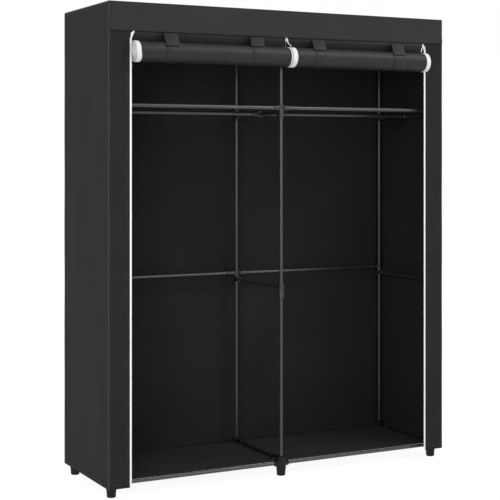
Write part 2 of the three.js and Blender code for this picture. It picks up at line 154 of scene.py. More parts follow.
def slab(outline, origin, a, b, thickness, rounding=0.6):
    """Point(i, j) = origin + (outline_j + draw_i * inward_j) in the directions a and b
    + station_i * (a x b). The rims are round because the outer rings are drawn in."""
    outline = np.asarray(outline, float)
    tangent = np.roll(outline, -1, 0) - np.roll(outline, 1, 0)
    inward = np.stack([-tangent[:, 1], tangent[:, 0]], 1)
    inward /= np.linalg.norm(inward, axis=1)[:, None]
    turn = np.radians([0, 30, 60, 90])
    draw, station = rounding * (1 - np.sin(turn)), rounding * (1 - np.cos(turn)) - thickness / 2
    draw, station = np.append(draw, draw[::-1]), np.append(station, -station[::-1])
    ring = outline + draw[:, None, None] * inward
    points = origin + ring[..., :1] * a + ring[..., 1:] * b
    points = points + station[:, None, None] * np.cross(a, b)
    return with_ends(surface(points, False, True), len(outline))


def rounded_box(width, height, radius, steps=5):
    """Outline of a rectangle with round corners, anticlockwise: corner centre + radius *
    (cos t, sin t), with a quarter turn for each corner."""
    t = np.linspace(0, np.pi / 2, steps) + np.arange(4)[:, None] * np.pi / 2
    quarter = np.array([[1, 1], [-1, 1], [-1, -1], [1, -1]])
    corner = quarter * [width / 2 - radius, height / 2 - radius]
    return (corner[:, None] + radius * np.stack([np.cos(t), np.sin(t)], -1)).reshape(-1, 2)


def ring_section(radius, sides=12):
    """Points of a circle: radius * (cos t, sin t)."""
    t = np.linspace(0, 2 * np.pi, sides, endpoint=False)
    return radius * np.stack([np.cos(t), np.sin(t)], -1)


# %% [markdown]
# ## One object from its parts
# Many pieces are several closed shells in one, such as a tube in three lengths or a seam's
# stitches. Their points are stacked, the poles' doubled points are merged, and only then are
# the normals recalculated, so each shell faces outwards. A cloth is an open grid with its own
# UV map in metres, and it gets its thickness from a Solidify modifier.

# %% Make a piece
def piece(name, parts, finish, body="root", replaces=(), uv=None, crease=40):
    """Stacks the parts' points, shifts each part's faces by the points before it, and makes
    one smooth-shaded object with creases where faces meet at more than the crease angle."""
    starts = np.cumsum([0] + [len(points) for points, _ in parts])
    faces = [face for start, (_, blocks) in zip(starts, parts)
             for block in blocks for face in (block + start).tolist()]
    mesh = bpy.data.meshes.new(name)
    mesh.from_pydata(np.vstack([points for points, _ in parts]) * mm, [], faces)
    if uv is None:
        shell = bmesh.new()
        shell.from_mesh(mesh)
        bmesh.ops.remove_doubles(shell, verts=shell.verts, dist=1e-6)
        bmesh.ops.recalc_face_normals(shell, faces=shell.faces)
        shell.to_mesh(mesh)
        shell.free()
    else:
        corner = np.empty(len(mesh.loops), int)
        mesh.loops.foreach_get("vertex_index", corner)
        layer = mesh.uv_layers.new(name="cloth")
        layer.data.foreach_set("uv", (np.asarray(uv) * mm)[corner].ravel())
    mesh.shade_smooth()
    mesh.set_sharp_from_angle(angle=math.radians(crease))
    mesh.materials.append(finish)
    made = bpy.data.objects.new(name, mesh)
    bpy.context.collection.objects.link(made)
    if body:
        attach(made, body)
    if replaces:
        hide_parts(*replaces)
    return made


def thicken(made, thickness):
    """Gives an open sheet its thickness, half to each side of the grid."""
    wall = made.modifiers.new("thickness", "SOLIDIFY")
    wall.thickness = thickness * mm
    wall.offset = 0
    return made


# %% [markdown]
# ## Materials: a helper
# A node tree is easier to read as a list of nodes with their settings and links than as forty
# lines of assignments. One small function adds any node. Colours are written as sRGB hex
# values, as on a colour card, and one function turns them to the linear values Blender needs.
# Each finish begins with a shader and ends in a mix of two near colours and a bump, so these
# two steps are shared, and only the pattern between them is the material's own.

# %% Add a node, and read a colour
def linear(code):
    """sRGB hex to linear: c / 12.92 below 0.04045, else ((c + 0.055) / 1.055) ** 2.4."""
    c = np.array([int(code[i:i + 2], 16) for i in (1, 3, 5)]) / 255
    return (*np.where(c <= 0.04045, c / 12.92, ((c + 0.055) / 1.055) ** 2.4), 1.0)


def node(tree, kind, values=None, links=None, **settings):
    """Adds a node, sets its settings and its sockets' values, and links {socket: (node,
    output)} into it."""
    made = tree.nodes.new(kind)
    for key, value in settings.items():
        setattr(made, key, value)
    for key, value in (values or {}).items():
        made.inputs[key].default_value = value
    for key, (source, output) in (links or {}).items():
        tree.links.new(source.outputs[output], made.inputs[key])
    return made


# %% Begin and end a finish
# A pattern is read on the cloth's own UV map, or on the object's coordinates.
cloth_map = ("ShaderNodeUVMap", {"uv_map": "cloth"}, "UV")
object_place = ("ShaderNodeTexCoord", {}, "Object")


def finish(name, **shader_values):
    """A material with only an output and a Principled shader, whose plain values are set on
    its own sockets."""
    made = bpy.data.materials.new(name)
    made.use_nodes = True
    tree = made.node_tree
    tree.nodes.clear()
    values = {key.replace("_", " "): value for key, value in shader_values.items()}
    shader = node(tree, "ShaderNodeBsdfPrincipled", values)
    node(tree, "ShaderNodeOutputMaterial", links={"Surface": (shader, "BSDF")})
    return made, tree, shader


def coloured(tree, shader, share, low, high, height, relief, strength):
    """Base Color = a mix of two hex colours by a share from 0 to 1. Normal = a bump of the
    height, with its relief in millimetres. A Mix node keeps its colours in the sockets 6 and
    7, and its mixed colour in the output 2."""
    mix = node(tree, "ShaderNodeMix", {6: linear(low), 7: linear(high)}, {0: share},
               data_type="RGBA")
    bump = node(tree, "ShaderNodeBump", {"Strength": strength, "Distance": relief * mm},
                {"Height": height})
    tree.links.new(mix.outputs[2], shader.inputs["Base Color"])
    tree.links.new(bump.outputs["Normal"], shader.inputs["Normal"])


# %% [markdown]
# ## Spun-bonded cloth
# The cover is non-woven polypropylene: endless fibres are laid down at random and bonded by a
# heated roller that presses a lattice of small points. It has no threads to draw. What the eye
# gets is a dull, slightly cloudy black, because more fibres fall in one place than another, with
# a soft gleam at a flat angle, and from close up the lattice of points. The pattern follows
# the cloth's own UV map, so it stays on the cloth when a door is unrolled. The doors' cloth is
# calendered smoother, so their rolls gleam, and the straps are cut from it.

# %% The cloth's pattern
bond_pitch, bond_relief = 1.9, 0.12
cloud_size, drift_size = 14.0, 250.0
cloud_lift, cloud_low, cloud_high = 0.4, 0.45, 0.78
fibre_height = 3.0


def cosines(tree, place, pitch, axes):
    """The cosines of a place's coordinates, turned by 2 pi for each pitch in millimetres."""
    turns = node(tree, "ShaderNodeVectorMath", {1: (2000 * math.pi / pitch,) * 3}, {0: place},
                 operation="MULTIPLY")
    parts = node(tree, "ShaderNodeSeparateXYZ", links={"Vector": (turns, "Vector")})
    return [(node(tree, "ShaderNodeMath", links={0: (parts, axis)}, operation="COSINE"), "Value")
            for axis in axes]


def spun_bond(name, thin, thick, roughness=0.8, gleam=0.05, fuzz=0.02, mapped=True):
    """Colour between two blacks by clouds * drift. Height = fibres + cos u * cos v of the bond
    points. Cloth without a map of its own takes the object's width and height instead."""
    made, tree, shader = finish(name, Roughness=roughness, IOR=1.49, Sheen_Weight=fuzz,
                                Sheen_Roughness=0.5, Specular_IOR_Level=gleam)
    kind, settings, output = cloth_map if mapped else object_place
    place = node(tree, kind, **settings), output
    cloud = node(tree, "ShaderNodeTexNoise",
                 {"Scale": 1000 / cloud_size, "Detail": 5.0, "Roughness": 0.62},
                 {"Vector": place}), "Fac"
    drift = node(tree, "ShaderNodeTexNoise", {"Scale": 1000 / drift_size, "Detail": 2.0},
                 {"Vector": place}), "Fac"
    both = node(tree, "ShaderNodeMath", {2: cloud_lift}, {0: cloud, 1: drift},
                operation="MULTIPLY_ADD")
    level = node(tree, "ShaderNodeMapRange", {"From Min": cloud_low, "From Max": cloud_high},
                 {"Value": (both, "Value")})
    points = node(tree, "ShaderNodeMath", operation="MULTIPLY",
                  links=dict(enumerate(cosines(tree, place, bond_pitch, "XY" if mapped else "XZ"))))
    fibre = node(tree, "ShaderNodeMath", {1: fibre_height}, {0: cloud, 2: (points, "Value")},
                 operation="MULTIPLY_ADD")
    coloured(tree, shader, (level, "Result"), thin, thick, (fibre, "Value"), bond_relief, 0.5)
    return made


# %% Make the cloth's finishes
cover_black = spun_bond("black_spun_bond", "#252526", "#2b2b2c")
# The header's finish is a lighter copy of the cover's: painted light, because the header catches
# more light.
header_lit_black = spun_bond("black_spun_bond_header_painted_light", "#303031", "#373738")
# The inside's finish is a darker, duller copy of the cover's: painted shade for the inside of the
# wardrobe.
inside_shaded_black = spun_bond("black_spun_bond_painted_shade_inside", "#222222", "#282828", 0.9, 0.04, 0.01)
door_black = spun_bond("black_spun_bond_door", "#18181a", "#1f1f20", 0.46, 0.31)
band_black = spun_bond("black_spun_bond_band", "#18181a", "#1f1f20", 0.46, 0.31, mapped=False)
floor_black = spun_bond("black_spun_bond_floor", "#232323", "#2a2a2b", 0.85, 0.06)
print("bond points every", bond_pitch, "mm, clouds of", cloud_size, "mm")

# %% [markdown]
# ## Woven tape, zip coil and enamel
# The zips are white: a woven polyester tape, a coil of nylon wire sewn along its edge, and a
# die-cast slider under white enamel. The tape shows fine ribs across its width, the coil is a
# little shinier than the tape, and the enamel is smooth and glossy with thin, greyer edges.
# Where a tape is wound up with its door, its turns lie on each other, and the eye gets the
# long rows of coil and sewing instead of the ribs; the dark valleys between the rows are
# painted shade, where the turns shade each other.

# %% Ribs and grain
rib_pitch, shade_row_pitch = 1.6, 7.4
rib_relief = 0.15


def woven_tape(name, valley, crest, pitch, roughness=0.72, gleam=0.3, along=False):
    """Colour and height = cos of the object's width * cos of its height, turned by 2 pi for
    each rib. Real ribs are half as far apart, which no render at this size would show. A
    wound tape takes cos u of its own map alone, which draws rows that run along it; their dark
    valleys are painted shade between the turns."""
    made, tree, shader = finish(name, Roughness=roughness, IOR=1.55, Sheen_Weight=0.15,
                                Specular_IOR_Level=gleam)
    kind, settings, output = cloth_map if along else object_place
    rib, *second = cosines(tree, (node(tree, kind, **settings), output), pitch,
                           "X" if along else "XZ")
    if second:
        rib = node(tree, "ShaderNodeMath", links={0: rib, 1: second[0]},
                   operation="MULTIPLY"), "Value"
    level = node(tree, "ShaderNodeMapRange", {"From Min": -1.0}, {"Value": rib})
    coloured(tree, shader, (level, "Result"), valley, crest, rib, rib_relief, 0.35)
    return made


def grained(name, low, high, grain, depth, **shader_values):
    """A moulded, sprayed or drawn surface: a noise whose grains are that many millimetres
    wide mixes two near colours, lifts the surface by depth and varies its roughness."""
    made, tree, shader = finish(name, **shader_values)
    kind, settings, output = object_place
    noise = node(tree, "ShaderNodeTexNoise", {"Scale": 1000 / grain, "Detail": 3.0},
                 {"Vector": (node(tree, kind, **settings), output)}), "Fac"
    coloured(tree, shader, noise, low, high, noise, depth, 0.6)
    rough = shader_values["Roughness"]
    gloss = node(tree, "ShaderNodeMapRange", {"To Min": rough - 0.06, "To Max": rough + 0.08},
                 {"Value": noise})
    tree.links.new(gloss.outputs["Result"], shader.inputs["Roughness"])
    return made


# %% Make the zip's finishes
zip_tape = woven_tape("white_woven_tape", "#efefec", "#fcfcfa", rib_pitch)
# Its darker valleys are painted shade between the wound turns, on rows of coil and sewing.
wound_tape_with_shade = woven_tape("white_tape_painted_turn_shade", "#c6c6c3", "#fcfcfa", shade_row_pitch, along=True)
zip_coil = grained("white_nylon_coil", "#f3f3f0", "#fbfbf9", 0.6, 0.02, Roughness=0.4, IOR=1.53)
zip_enamel = grained("white_enamel", "#e6e6e3", "#f3f3f1", 3.0, 0.01, Roughness=0.22, IOR=1.5,
                     Coat_Weight=0.3, Coat_Roughness=0.1)
print("ribs every", rib_pitch, "mm, rows on a wound tape every", shade_row_pitch, "mm")

# %% [markdown]
# ## Powder-coated steel, moulded plastic, tape and thread
# The tubes are drawn steel under grey powder coat, which flows into a very fine orange peel.
# The bottom depth bars get a darker, matt copy of the steel's finish, which is painted shade
# for the dim bottom of the wardrobe. The connectors are black polypropylene out of a
# spark-eroded mould, so they have an even, dull grain. The feet get a darker, duller copy of
# it, which is painted shade for their place low on the floor. Piping is a black woven binding
# over a cord, and the seams are sewn with black polyester thread, a little glossier than the cloth.

# %% Make the frame's and the trimming's finishes
coated_steel = grained("grey_powder_coat", "#252627", "#2c2d2e", 2.2, 0.015, Roughness=0.3,
                       IOR=1.5, Coat_Weight=0.35, Coat_Roughness=0.15)
moulded_plastic = grained("black_moulded_plastic", "#171718", "#1e1e1f", 1.1, 0.05,
                          Roughness=0.42, IOR=1.49, Coat_Weight=0.3, Coat_Roughness=0.3)
# Painted shade: a darker, duller copy of the connectors' plastic for the feet.
shaded_foot_plastic = grained("plastic_painted_shade_feet", "#0d0d0e", "#131314", 1.1, 0.05,
                       Roughness=0.55, IOR=1.49, Specular_IOR_Level=0.22)
# Painted shade: a darker, matt copy of the steel for the bottom depth bars.
shaded_bar_steel = grained("steel_painted_shade_matt", "#161617", "#1d1d1e", 2.2, 0.02, Roughness=0.55, IOR=1.5)
piping_black = woven_tape("black_binding", "#111112", "#181819", 1.8, 0.52, 0.36)
strap_black = woven_tape("black_strap_webbing", "#131314", "#1b1b1c", 2.4, 0.66, 0.24)
thread_black = grained("black_polyester_thread", "#222223", "#303032", 0.9, 0.05,
                       Roughness=0.48, IOR=1.54)
print("materials:", len(bpy.data.materials))

# %% [markdown]
# ## Steel tubes
# Posts, rails, depth bars and hanging rods are thin-walled tubes cut to length, with the burr
# taken off their ends. A post is three lengths that meet inside the connectors. Each tube is
# a closed profile turned about its own axis: out along the skin and back along the bore.

# %% A tube's form
columns, rows = ("left", "middle", "right"), ("front", "rear")
post_x = {column: box_of(f"post_{column}_front")[2][0] for column in columns}
post_y = {row: box_of(f"post_left_{row}")[2][1] for row in rows}
inward = {"front": 1, "rear": -1}
tube_wall = 0.9
tube_burr = 0.3
post_joint = 0.4
mid_bar_height = box_of("mid_depth_bar_left")[2][2]
upper_bar_height = box_of("hanging_rod_left")[2][2]


def tube_along(axis, radius, middle, low, high, sides=32):
    """Closed profile: skin from low to high and bore from high to low, along the axis."""
    profile = [[radius - tube_wall, low], [radius - tube_burr, low], [radius, low + tube_burr],
               [radius, high - tube_burr], [radius - tube_burr, high], [radius - tube_wall, high]]
    return turned(profile, middle * (1 - axis), axis, sides)


def tube_of(name, cuts=()):
    """The tube or tubes that fill a node's box, cut at the given heights."""
    low, high, middle = box_of(name)
    axis = np.eye(3)[(high - low).argmax()]
    ends = [low @ axis, *cuts, high @ axis]
    return [tube_along(axis, (high - low).min() / 2, middle, start + post_joint * (i > 0), end)
            for i, (start, end) in enumerate(zip(ends[:-1], ends[1:]))]


# %% Turn the tubes
posts = [f"post_{column}_{row}" for column in columns for row in rows]
bars = [f"{level}_depth_bar_{column}" for level in ("bottom", "mid", "top") for column in columns]
rails = [f"{rail}_{bay}" for rail in ("bottom_rail_front", "bottom_rail_rear", "mid_rail_rear",
                                      "front_rail", "hanging_rod") for bay in ("left", "right")]
for name in posts:
    piece(f"{name}_tubes", tube_of(name, (mid_bar_height, upper_bar_height)), coated_steel,
          replaces=[name])
for name in bars + rails:
    piece(f"{name}_tube", tube_of(name), shaded_bar_steel if "bottom_depth" in name else coated_steel,
          replaces=[name])
print("tubes:", len(posts) * 3 + len(bars) + len(rails))

# %% [markdown]
# ## Moulded connectors
# A connector is a sleeve that slides on a post, with short arms that take the ends of the
# rails and bars. The mouth of each arm and both ends of the sleeve carry a thicker collar, so
# the plastic doesn't split when a tube is pushed in, and the arm swells where it leaves the
# sleeve. Sleeve and arm are turned as closed walls round their bores.

# %% Sleeves and arms
sleeve_radius, tube_radius = 12.0, 6.5
thin_bore, thick_bore = 6.8, 8.3
thin_arm, thick_arm = 10.2, 11.7
arm_reach, arm_root = 28.8, 8.6
collar, collar_slope, relief = 6.5, 1.2, 0.9
chamfer, mouth_chamfer = 1.4, 0.9
swell_rise, swell_length, swell_slope, neck = 1.3, 2.4, 3.0, 0.4


def sleeve(x, y, low, high):
    """Closed profile: bore, chamfered end, collar, drawn-in waist, collar and end again."""
    skin, waist, slope = sleeve_radius, sleeve_radius - relief, collar + collar_slope
    profile = [[thin_bore, low], [skin - chamfer, low], [skin, low + chamfer],
               [skin, low + collar], [waist, low + slope], [waist, high - slope],
               [skin, high - collar], [skin, high - chamfer], [skin - chamfer, high],
               [thin_bore, high]]
    return turned(profile, np.array([x, y, 0]), Z)


def arm(origin, way, reach=arm_reach, skin=thin_arm, bore=thin_bore, root=arm_root):
    """Closed profile along the way: bore at the root, a swelling that ends in a straight
    stretch, the collar of the mouth and back along the bore."""
    swell, waist = min(skin + swell_rise, sleeve_radius - neck), skin - relief
    swell_end = root + swell_length
    profile = [[bore, root], [swell, root], [swell, swell_end],
               [skin - neck, swell_end + swell_slope], [waist, root + 8],
               [waist, reach - collar - 1], [skin, reach - collar],
               [skin, reach - mouth_chamfer], [skin - mouth_chamfer, reach], [bore, reach]]
    return turned(profile, np.asarray(origin, float), np.asarray(way, float))


def side_arms(column, origin, *sizes):
    """An arm along x to each side on which the column has a neighbour."""
    ways = {"left": (1,), "middle": (-1, 1), "right": (-1,)}[column]
    return [arm(origin, X * way, *sizes) for way in ways]


def moulded(name, parts, node_name, finish=moulded_plastic):
    """A piece in moulded plastic that stands for a node, or for a part of it."""
    return piece(name, parts, finish, replaces=[node_name])


print("sleeve", 2 * sleeve_radius, "mm across, arms reach", arm_reach, "mm")

# %% Connectors at mid and upper height
rear_mid_height = box_of("mid_rail_rear_left")[2][2]
front_rail_height = box_of("front_rail_left")[2][2]
rear_mid_reach = 45.0
for column in columns:
    x = post_x[column]
    for row in rows:
        y, node_name = post_y[row], f"mid_connector_{column}_{row}"
        low, high, _ = box_of(node_name)
        parts = [sleeve(x, y, low[2], high[2]), arm((x, y, mid_bar_height), Y * inward[row])]
        if row == "rear":
            parts += side_arms(column, (x, y, rear_mid_height), rear_mid_reach)
        moulded(f"{node_name}_moulding", parts, node_name)
    y, node_name = post_y["front"], f"upper_connector_{column}_front"
    low, high, _ = box_of(node_name)
    parts = [sleeve(x, y, low[2], high[2]), arm((x, y, upper_bar_height), Y)]
    parts += side_arms(column, (x, y, front_rail_height), arm_reach, thick_arm, thick_bore)
    moulded(f"{node_name}_moulding", parts, node_name)
print("rear rails at", round(rear_mid_height, 1), "mm, front rails at", round(front_rail_height, 1))

# %% [markdown]
# ## Upper crossbars
# The depth bar at upper height carries the hanging rods. It passes through a moulded holder in
# the middle, which has a socket to each side for a rod, and ends in a connector on the rear
# post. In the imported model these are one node, so three pieces stand for it here.

# %% Make the crossbars
holder_length, holder_radius, holder_reach, rod_root = 34.0, 12.0, 26.0, 9.0
rod_y = box_of("hanging_rod_left")[2][1]
ends = np.array([-1, 1]) * holder_length / 2
holder = [[tube_radius, ends[0]], [holder_radius - chamfer, ends[0]],
          [holder_radius, ends[0] + chamfer], [holder_radius, ends[1] - chamfer],
          [holder_radius - chamfer, ends[1]], [tube_radius, ends[1]]]
for column in columns:
    node_name = f"upper_crossbar_{column}"
    low, high, _ = box_of(node_name)
    x, y = post_x[column], post_y["rear"]
    middle = np.array([x, rod_y, upper_bar_height])
    bar = tube_along(Y, tube_radius, middle, low[1], y - arm_root - tube_burr)
    piece(f"{node_name}_bar", [bar], coated_steel, replaces=[node_name])
    sockets = side_arms(column, middle, holder_reach, thick_arm, thick_bore, rod_root)
    moulded(f"rod_holder_{column}", [turned(holder, middle, Y), *sockets], node_name)
    parts = [sleeve(x, y, low[2], high[2]), arm((x, y, upper_bar_height), -Y)]
    moulded(f"upper_connector_{column}_rear_moulding", parts, node_name)
print("rod holders", holder_length, "mm long, at", round(upper_bar_height, 1), "mm")

# %% [markdown]
# ## Top rails
# The posts end in sockets under the cover, and the top rails run between them. A socket's head
# is a dome, so that no corner of it wears through the cloth.

# %% A top connector's form
top_height = box_of("top_depth_bar_left")[2][2]
socket_length, socket_root, rail_gap = 38.0, 6.0, 9.1
collar_step, socket_taper, taper_drop = 1.0, 0.3, 3.0
dome_turn = np.linspace(0, np.pi / 2, 7)


def top_connector(column, y, inwards):
    """Profile of the socket: bore, mouth collar, straight skin, then a quarter circle to the
    axis, which closes the head. The arms leave it at the rails' height."""
    mouth, foot = top_height - socket_length, top_height - arm_root
    dome = np.stack([thin_arm * np.cos(dome_turn), top_height + thin_arm * np.sin(dome_turn)], 1)
    profile = [[0, foot], [thin_bore, foot], [thin_bore, mouth],
               [thin_arm - mouth_chamfer, mouth], [thin_arm, mouth + mouth_chamfer],
               [thin_arm, mouth + collar], [thin_arm - relief, mouth + collar + collar_step],
               [thin_arm - socket_taper, foot - taper_drop], *dome]
    socket = turned(profile, np.array([post_x[column], y, 0]), Z, closed=False)
    centre, sizes = (post_x[column], y, top_height), (arm_reach, thin_arm, thin_bore, socket_root)
    return [socket, *side_arms(column, centre, *sizes), arm(centre, inwards, *sizes)]


# %% Make the top rails and their connectors
for row in rows:
    node_name, y = f"top_rail_{row}", post_y[row]
    parts = [tube_along(X, tube_radius, np.array([0, y, top_height]), post_x[start] + rail_gap,
                        post_x[end] - rail_gap)
             for start, end in (("left", "middle"), ("middle", "right"))]
    piece(f"{node_name}_tubes", parts, coated_steel, replaces=[node_name])
    for column in columns:
        moulded(f"top_connector_{column}_{row}", top_connector(column, y, Y * inward[row]),
                node_name)
print("top rails at", round(top_height, 1), "mm")

# %% [markdown]
# ## Feet
# A foot is a cup for the post on a wider shoulder, with sockets for the bottom rail and the
# depth bar. A curved web carries the depth bar's long socket. The pad at the floor is smaller
# than the shoulder, and its lower edge is rounded, so it slides without catching.

# %% A foot's form
foot_radius, foot_height, foot_root = 18.5, 70.0, 14.0
pad_radius, pad_edge, pad_top, shoulder = 16.0, 3.0, 10.0, 30.0
depth_reach, web_foot, web_width = 50.0, 7.0, 16.0
web_back, web_overlap, web_round = 12.0, 4.0, 1.6
pad_flare, flank_share, flank_drop, shoulder_draw = 0.4, 0.45, 5.0, 0.8
rim_round, bore_round = 1.5, 0.8
rail_height = box_of("bottom_rail_front_left")[2][2]
depth_height = box_of("bottom_depth_bar_left")[2][2]
edge_turn = np.linspace(-np.pi / 2, 0, 6)


def foot(column, row):
    """Profile: rounded edge of the pad, flank that widens to the shoulder, straight cup, rim
    and bore. Web: a quarter ellipse from the pad out to the mouth of the depth socket."""
    x, y, way = post_x[column], post_y[row], Y * inward[row]
    edge = np.stack([pad_radius - pad_edge + pad_edge * np.cos(edge_turn),
                     pad_edge + pad_edge * np.sin(edge_turn)], 1)
    profile = [[0, 0], *edge, [pad_radius + pad_flare, shoulder * flank_share],
               [foot_radius - shoulder_draw, shoulder - flank_drop], [foot_radius, shoulder],
               [foot_radius, foot_height - collar - collar_slope],
               [foot_radius, foot_height - rim_round], [foot_radius - rim_round, foot_height],
               [thin_bore + bore_round, foot_height], [thin_bore, foot_height - bore_round],
               [thin_bore, pad_top], [0, pad_top]]
    cup = turned(profile, np.array([x, y, 0]), Z, 48, closed=False)
    rail_arms = side_arms(column, (x, y, rail_height), arm_reach, thin_arm, thin_bore, foot_root)
    bar_arm = arm((x, y, depth_height), way, depth_reach, root=foot_root)
    turn = np.linspace(0, np.pi / 2, 12)
    underside, mouth = depth_height - thin_arm, depth_reach - 1
    curve = np.stack([pad_radius + (mouth - pad_radius) * (1 - np.cos(turn)),
                      web_foot + (underside - web_foot) * np.sin(turn)], 1)
    web_top = underside + web_overlap
    outline = [[web_back, web_top], [web_back, web_foot], *curve, [mouth, web_top]]
    web = slab(outline, np.array([x, y, 0]), way, Z, web_width, web_round)
    return [cup, *rail_arms, bar_arm, web]


# %% Make the feet
for column in columns:
    for row in rows:
        node_name = f"foot_{column}_{row}"
        moulded(f"{node_name}_moulding", foot(column, row), node_name, shaded_foot_plastic)
print("rail sockets at", round(rail_height, 1), "mm, bar sockets at", round(depth_height, 1))

# %% [markdown]
# ## Seams and stitches
# Every hem and seam is sewn with a lockstitch, which from outside is a row of short bars of
# thread. Each bar here is three small squares, the middle one larger, so it is pinched at
# both ends where the thread goes into the cloth. Thousands of them share one mesh.

# %% Rows of stitches
stitch_pitch, stitch_length, stitch_width, stitch_height = 4.4, 3.2, 0.9, 0.7


def row_of(start, end, facing, pitch=stitch_pitch, size=None):
    """Centre_i = start + (i + 1/2) * pitch * way. Corner = centre + size * (along, across,
    facing) of three squares at -1/2, 0 and 1/2, of which the outer two are pinched."""
    start, end = np.asarray(start, float), np.asarray(end, float)
    length, width, height = size or (stitch_length, stitch_width, stitch_height)
    way = (end - start) / np.linalg.norm(end - start)
    across = np.cross(facing, way)
    count = max(1, int(np.linalg.norm(end - start) / pitch))
    centres = start + (np.arange(count) + 0.5)[:, None] * pitch * way
    square = np.array([[-1, -1], [1, -1], [1, 1], [-1, 1]]) / 2
    station, pinch = np.array([-0.5, 0, 0.5]), np.array([0.45, 1, 0.45])
    ring = pinch[:, None, None] * square * [width, height]
    bar = station[:, None, None] * length * way + ring[..., :1] * across + ring[..., 1:] * facing
    shape, blocks = with_ends(surface(bar, False, True), 4)
    points = (centres[:, None] + shape).reshape(-1, 3)
    offset = np.arange(count)[:, None, None] * len(shape)
    return points, [(block + offset).reshape(-1, block.shape[1]) for block in blocks]


print("stitches", stitch_length, "mm long, every", stitch_pitch, "mm")

# %% [markdown]
# ## The cover's panels
# The cover is cut from the roll as flat panels: a top, two sides, a back, a header across the
# front and two narrow front strips beside the doorway. A simulation would only wrinkle what
# the frame keeps taut, so each panel is a grid with a little slack that dies out at the sewn
# edges. Hems are folded over twice, so the cloth stands a little thicker there.

# %% Hang a panel
cloth_thickness = 1.2
cover_low, cover_high, _ = box_of("cover")
left_wall, front_wall, _ = cover_low + cloth_thickness / 2
right_wall, back_wall, roof = cover_high - cloth_thickness / 2
hem_height = cover_low[2]
width, depth, height = right_wall - left_wall, back_wall - front_wall, roof - hem_height
seam_height = box_of("jamb_zip_left")[1][2]
hem_fold, hem_stand, hem_slope = 18.0, 0.9, 2.0


def smooth(value):
    """0 below 0, 1 above 1 and 3 t^2 - 2 t^3 between."""
    t = np.clip(value, 0, 1)
    return t * t * (3 - 2 * t)


def slack(u, v, amount, phase, reach=(310.0, 173.0, 740.0)):
    """Amount * rim * (long wave + 0.6 * slanting wave), where rim is the product of the
    sines over the panel's width and length, so it is 0 at every sewn edge."""
    rim = np.sin(np.pi * u / u.max()) * np.sin(np.pi * np.clip(v / v.max(), 0, 1))
    long_wave = np.sin(2 * np.pi * u / reach[0] + phase + 0.6 * np.sin(2 * np.pi * v / reach[2]))
    slanting = np.sin(2 * np.pi * (u / reach[1] - v / (1.3 * reach[2])) + 2 * phase)
    return amount * rim * (long_wave + 0.6 * slanting)


def hem(v, length, amount=hem_stand):
    """Amount * smooth of the distance past the hem's fold: the hem stands proud of the cloth."""
    return amount * smooth((v - (length - hem_fold)) / hem_slope)


def hung(name, u, v, origin, across, down, outward, lift, finish=cover_black):
    """Point(u, v) = origin + u * across + v * down + lift(u, v) * outward. The inner face
    gets a darker, duller copy of the cloth's finish, which is painted shade for the inside."""
    points = (np.asarray(origin, float) + u[..., None] * across + v[..., None] * down
              + lift[..., None] * outward)
    uv = np.stack([u, v], -1).reshape(-1, 2)
    points, blocks = surface(points)
    if np.cross(down, across) @ outward < 0:
        blocks = [block[:, ::-1] for block in blocks]
    made = thicken(piece(name, [(points, blocks)], finish, replaces=["cover"],
                         uv=uv), cloth_thickness)
    # Painted shade: the inner face takes the darker copy of the cloth.
    made.data.materials.append(inside_shaded_black)
    made.modifiers["thickness"].material_offset = 1
    return made


def grid(across, down):
    """Two grids: point(i, j) has the value across_j in the first and down_i in the second."""
    return np.meshgrid(np.asarray(across, float), np.asarray(down, float))


def lined(length, step, hemmed=False):
    """Stations from 0 to length at about one step. Down a hemmed panel they are 1 mm apart
    for 5 mm to each side of the place where the hem begins."""
    stations = np.linspace(0, length, int(length / step) + 1)
    if hemmed:
        start = length - hem_fold
        stations = np.append(stations, np.arange(start - 5, start + 5, 1.0))
    return np.unique(np.round(stations, 3))


print(f"cover {width:.0f} x {depth:.0f} x {height:.0f} mm, seam of the doors at {seam_height:.0f}")

# %% Sides and back
side_slack, back_slack = 1.5, 2.2
for side, wall, outward, phase in (("left", left_wall, -X, 0.4), ("right", right_wall, X, 2.1)):
    u, v = grid(lined(depth, 11), lined(height, 18, hemmed=True))
    hung(f"cover_side_{side}", u, v, (wall, front_wall, roof), Y, -Z, outward,
                            slack(u, v, side_slack, phase) + hem(v, height))
u, v = grid(lined(width, 16), lined(height, 18, hemmed=True))
back_piece = hung("cover_back", u, v, (left_wall, back_wall, roof), X, -Z, Y,
                  slack(u, v, back_slack, 1.2) + hem(v, height))
print(f"sides {depth:.0f} x {height:.0f} mm, back {width:.0f} x {height:.0f} mm")

# %% Top
# It lies on the heads of the top connectors and dips a little onto the tubes between them.
rim_width, post_dip, rail_dip = 40.0, 2.6, 6.5
rail_line = np.array([post_y["front"], post_y["rear"]]) - front_wall
post_line = np.array([post_x[column] for column in columns]) - left_wall
u, v = grid(lined(width, 14), lined(depth, 10))
between_posts = np.abs(np.sin(np.pi * (u - post_line[0]) / (post_line[1] - post_line[0])))
between_rails = np.sin(np.pi * np.clip((v - rail_line[0]) / np.ptp(rail_line), 0, 1))
rim = np.minimum.reduce([smooth(edge / rim_width) for edge in (u, width - u, v, depth - v)])
dip = rim * (post_dip * between_posts + rail_dip * between_rails * (0.5 + 0.5 * between_posts))
top_piece = hung("cover_top", u, v, (left_wall, front_wall, roof), X, Y, Z, -dip)
print("the top dips", round(dip.max(), 1), "mm")

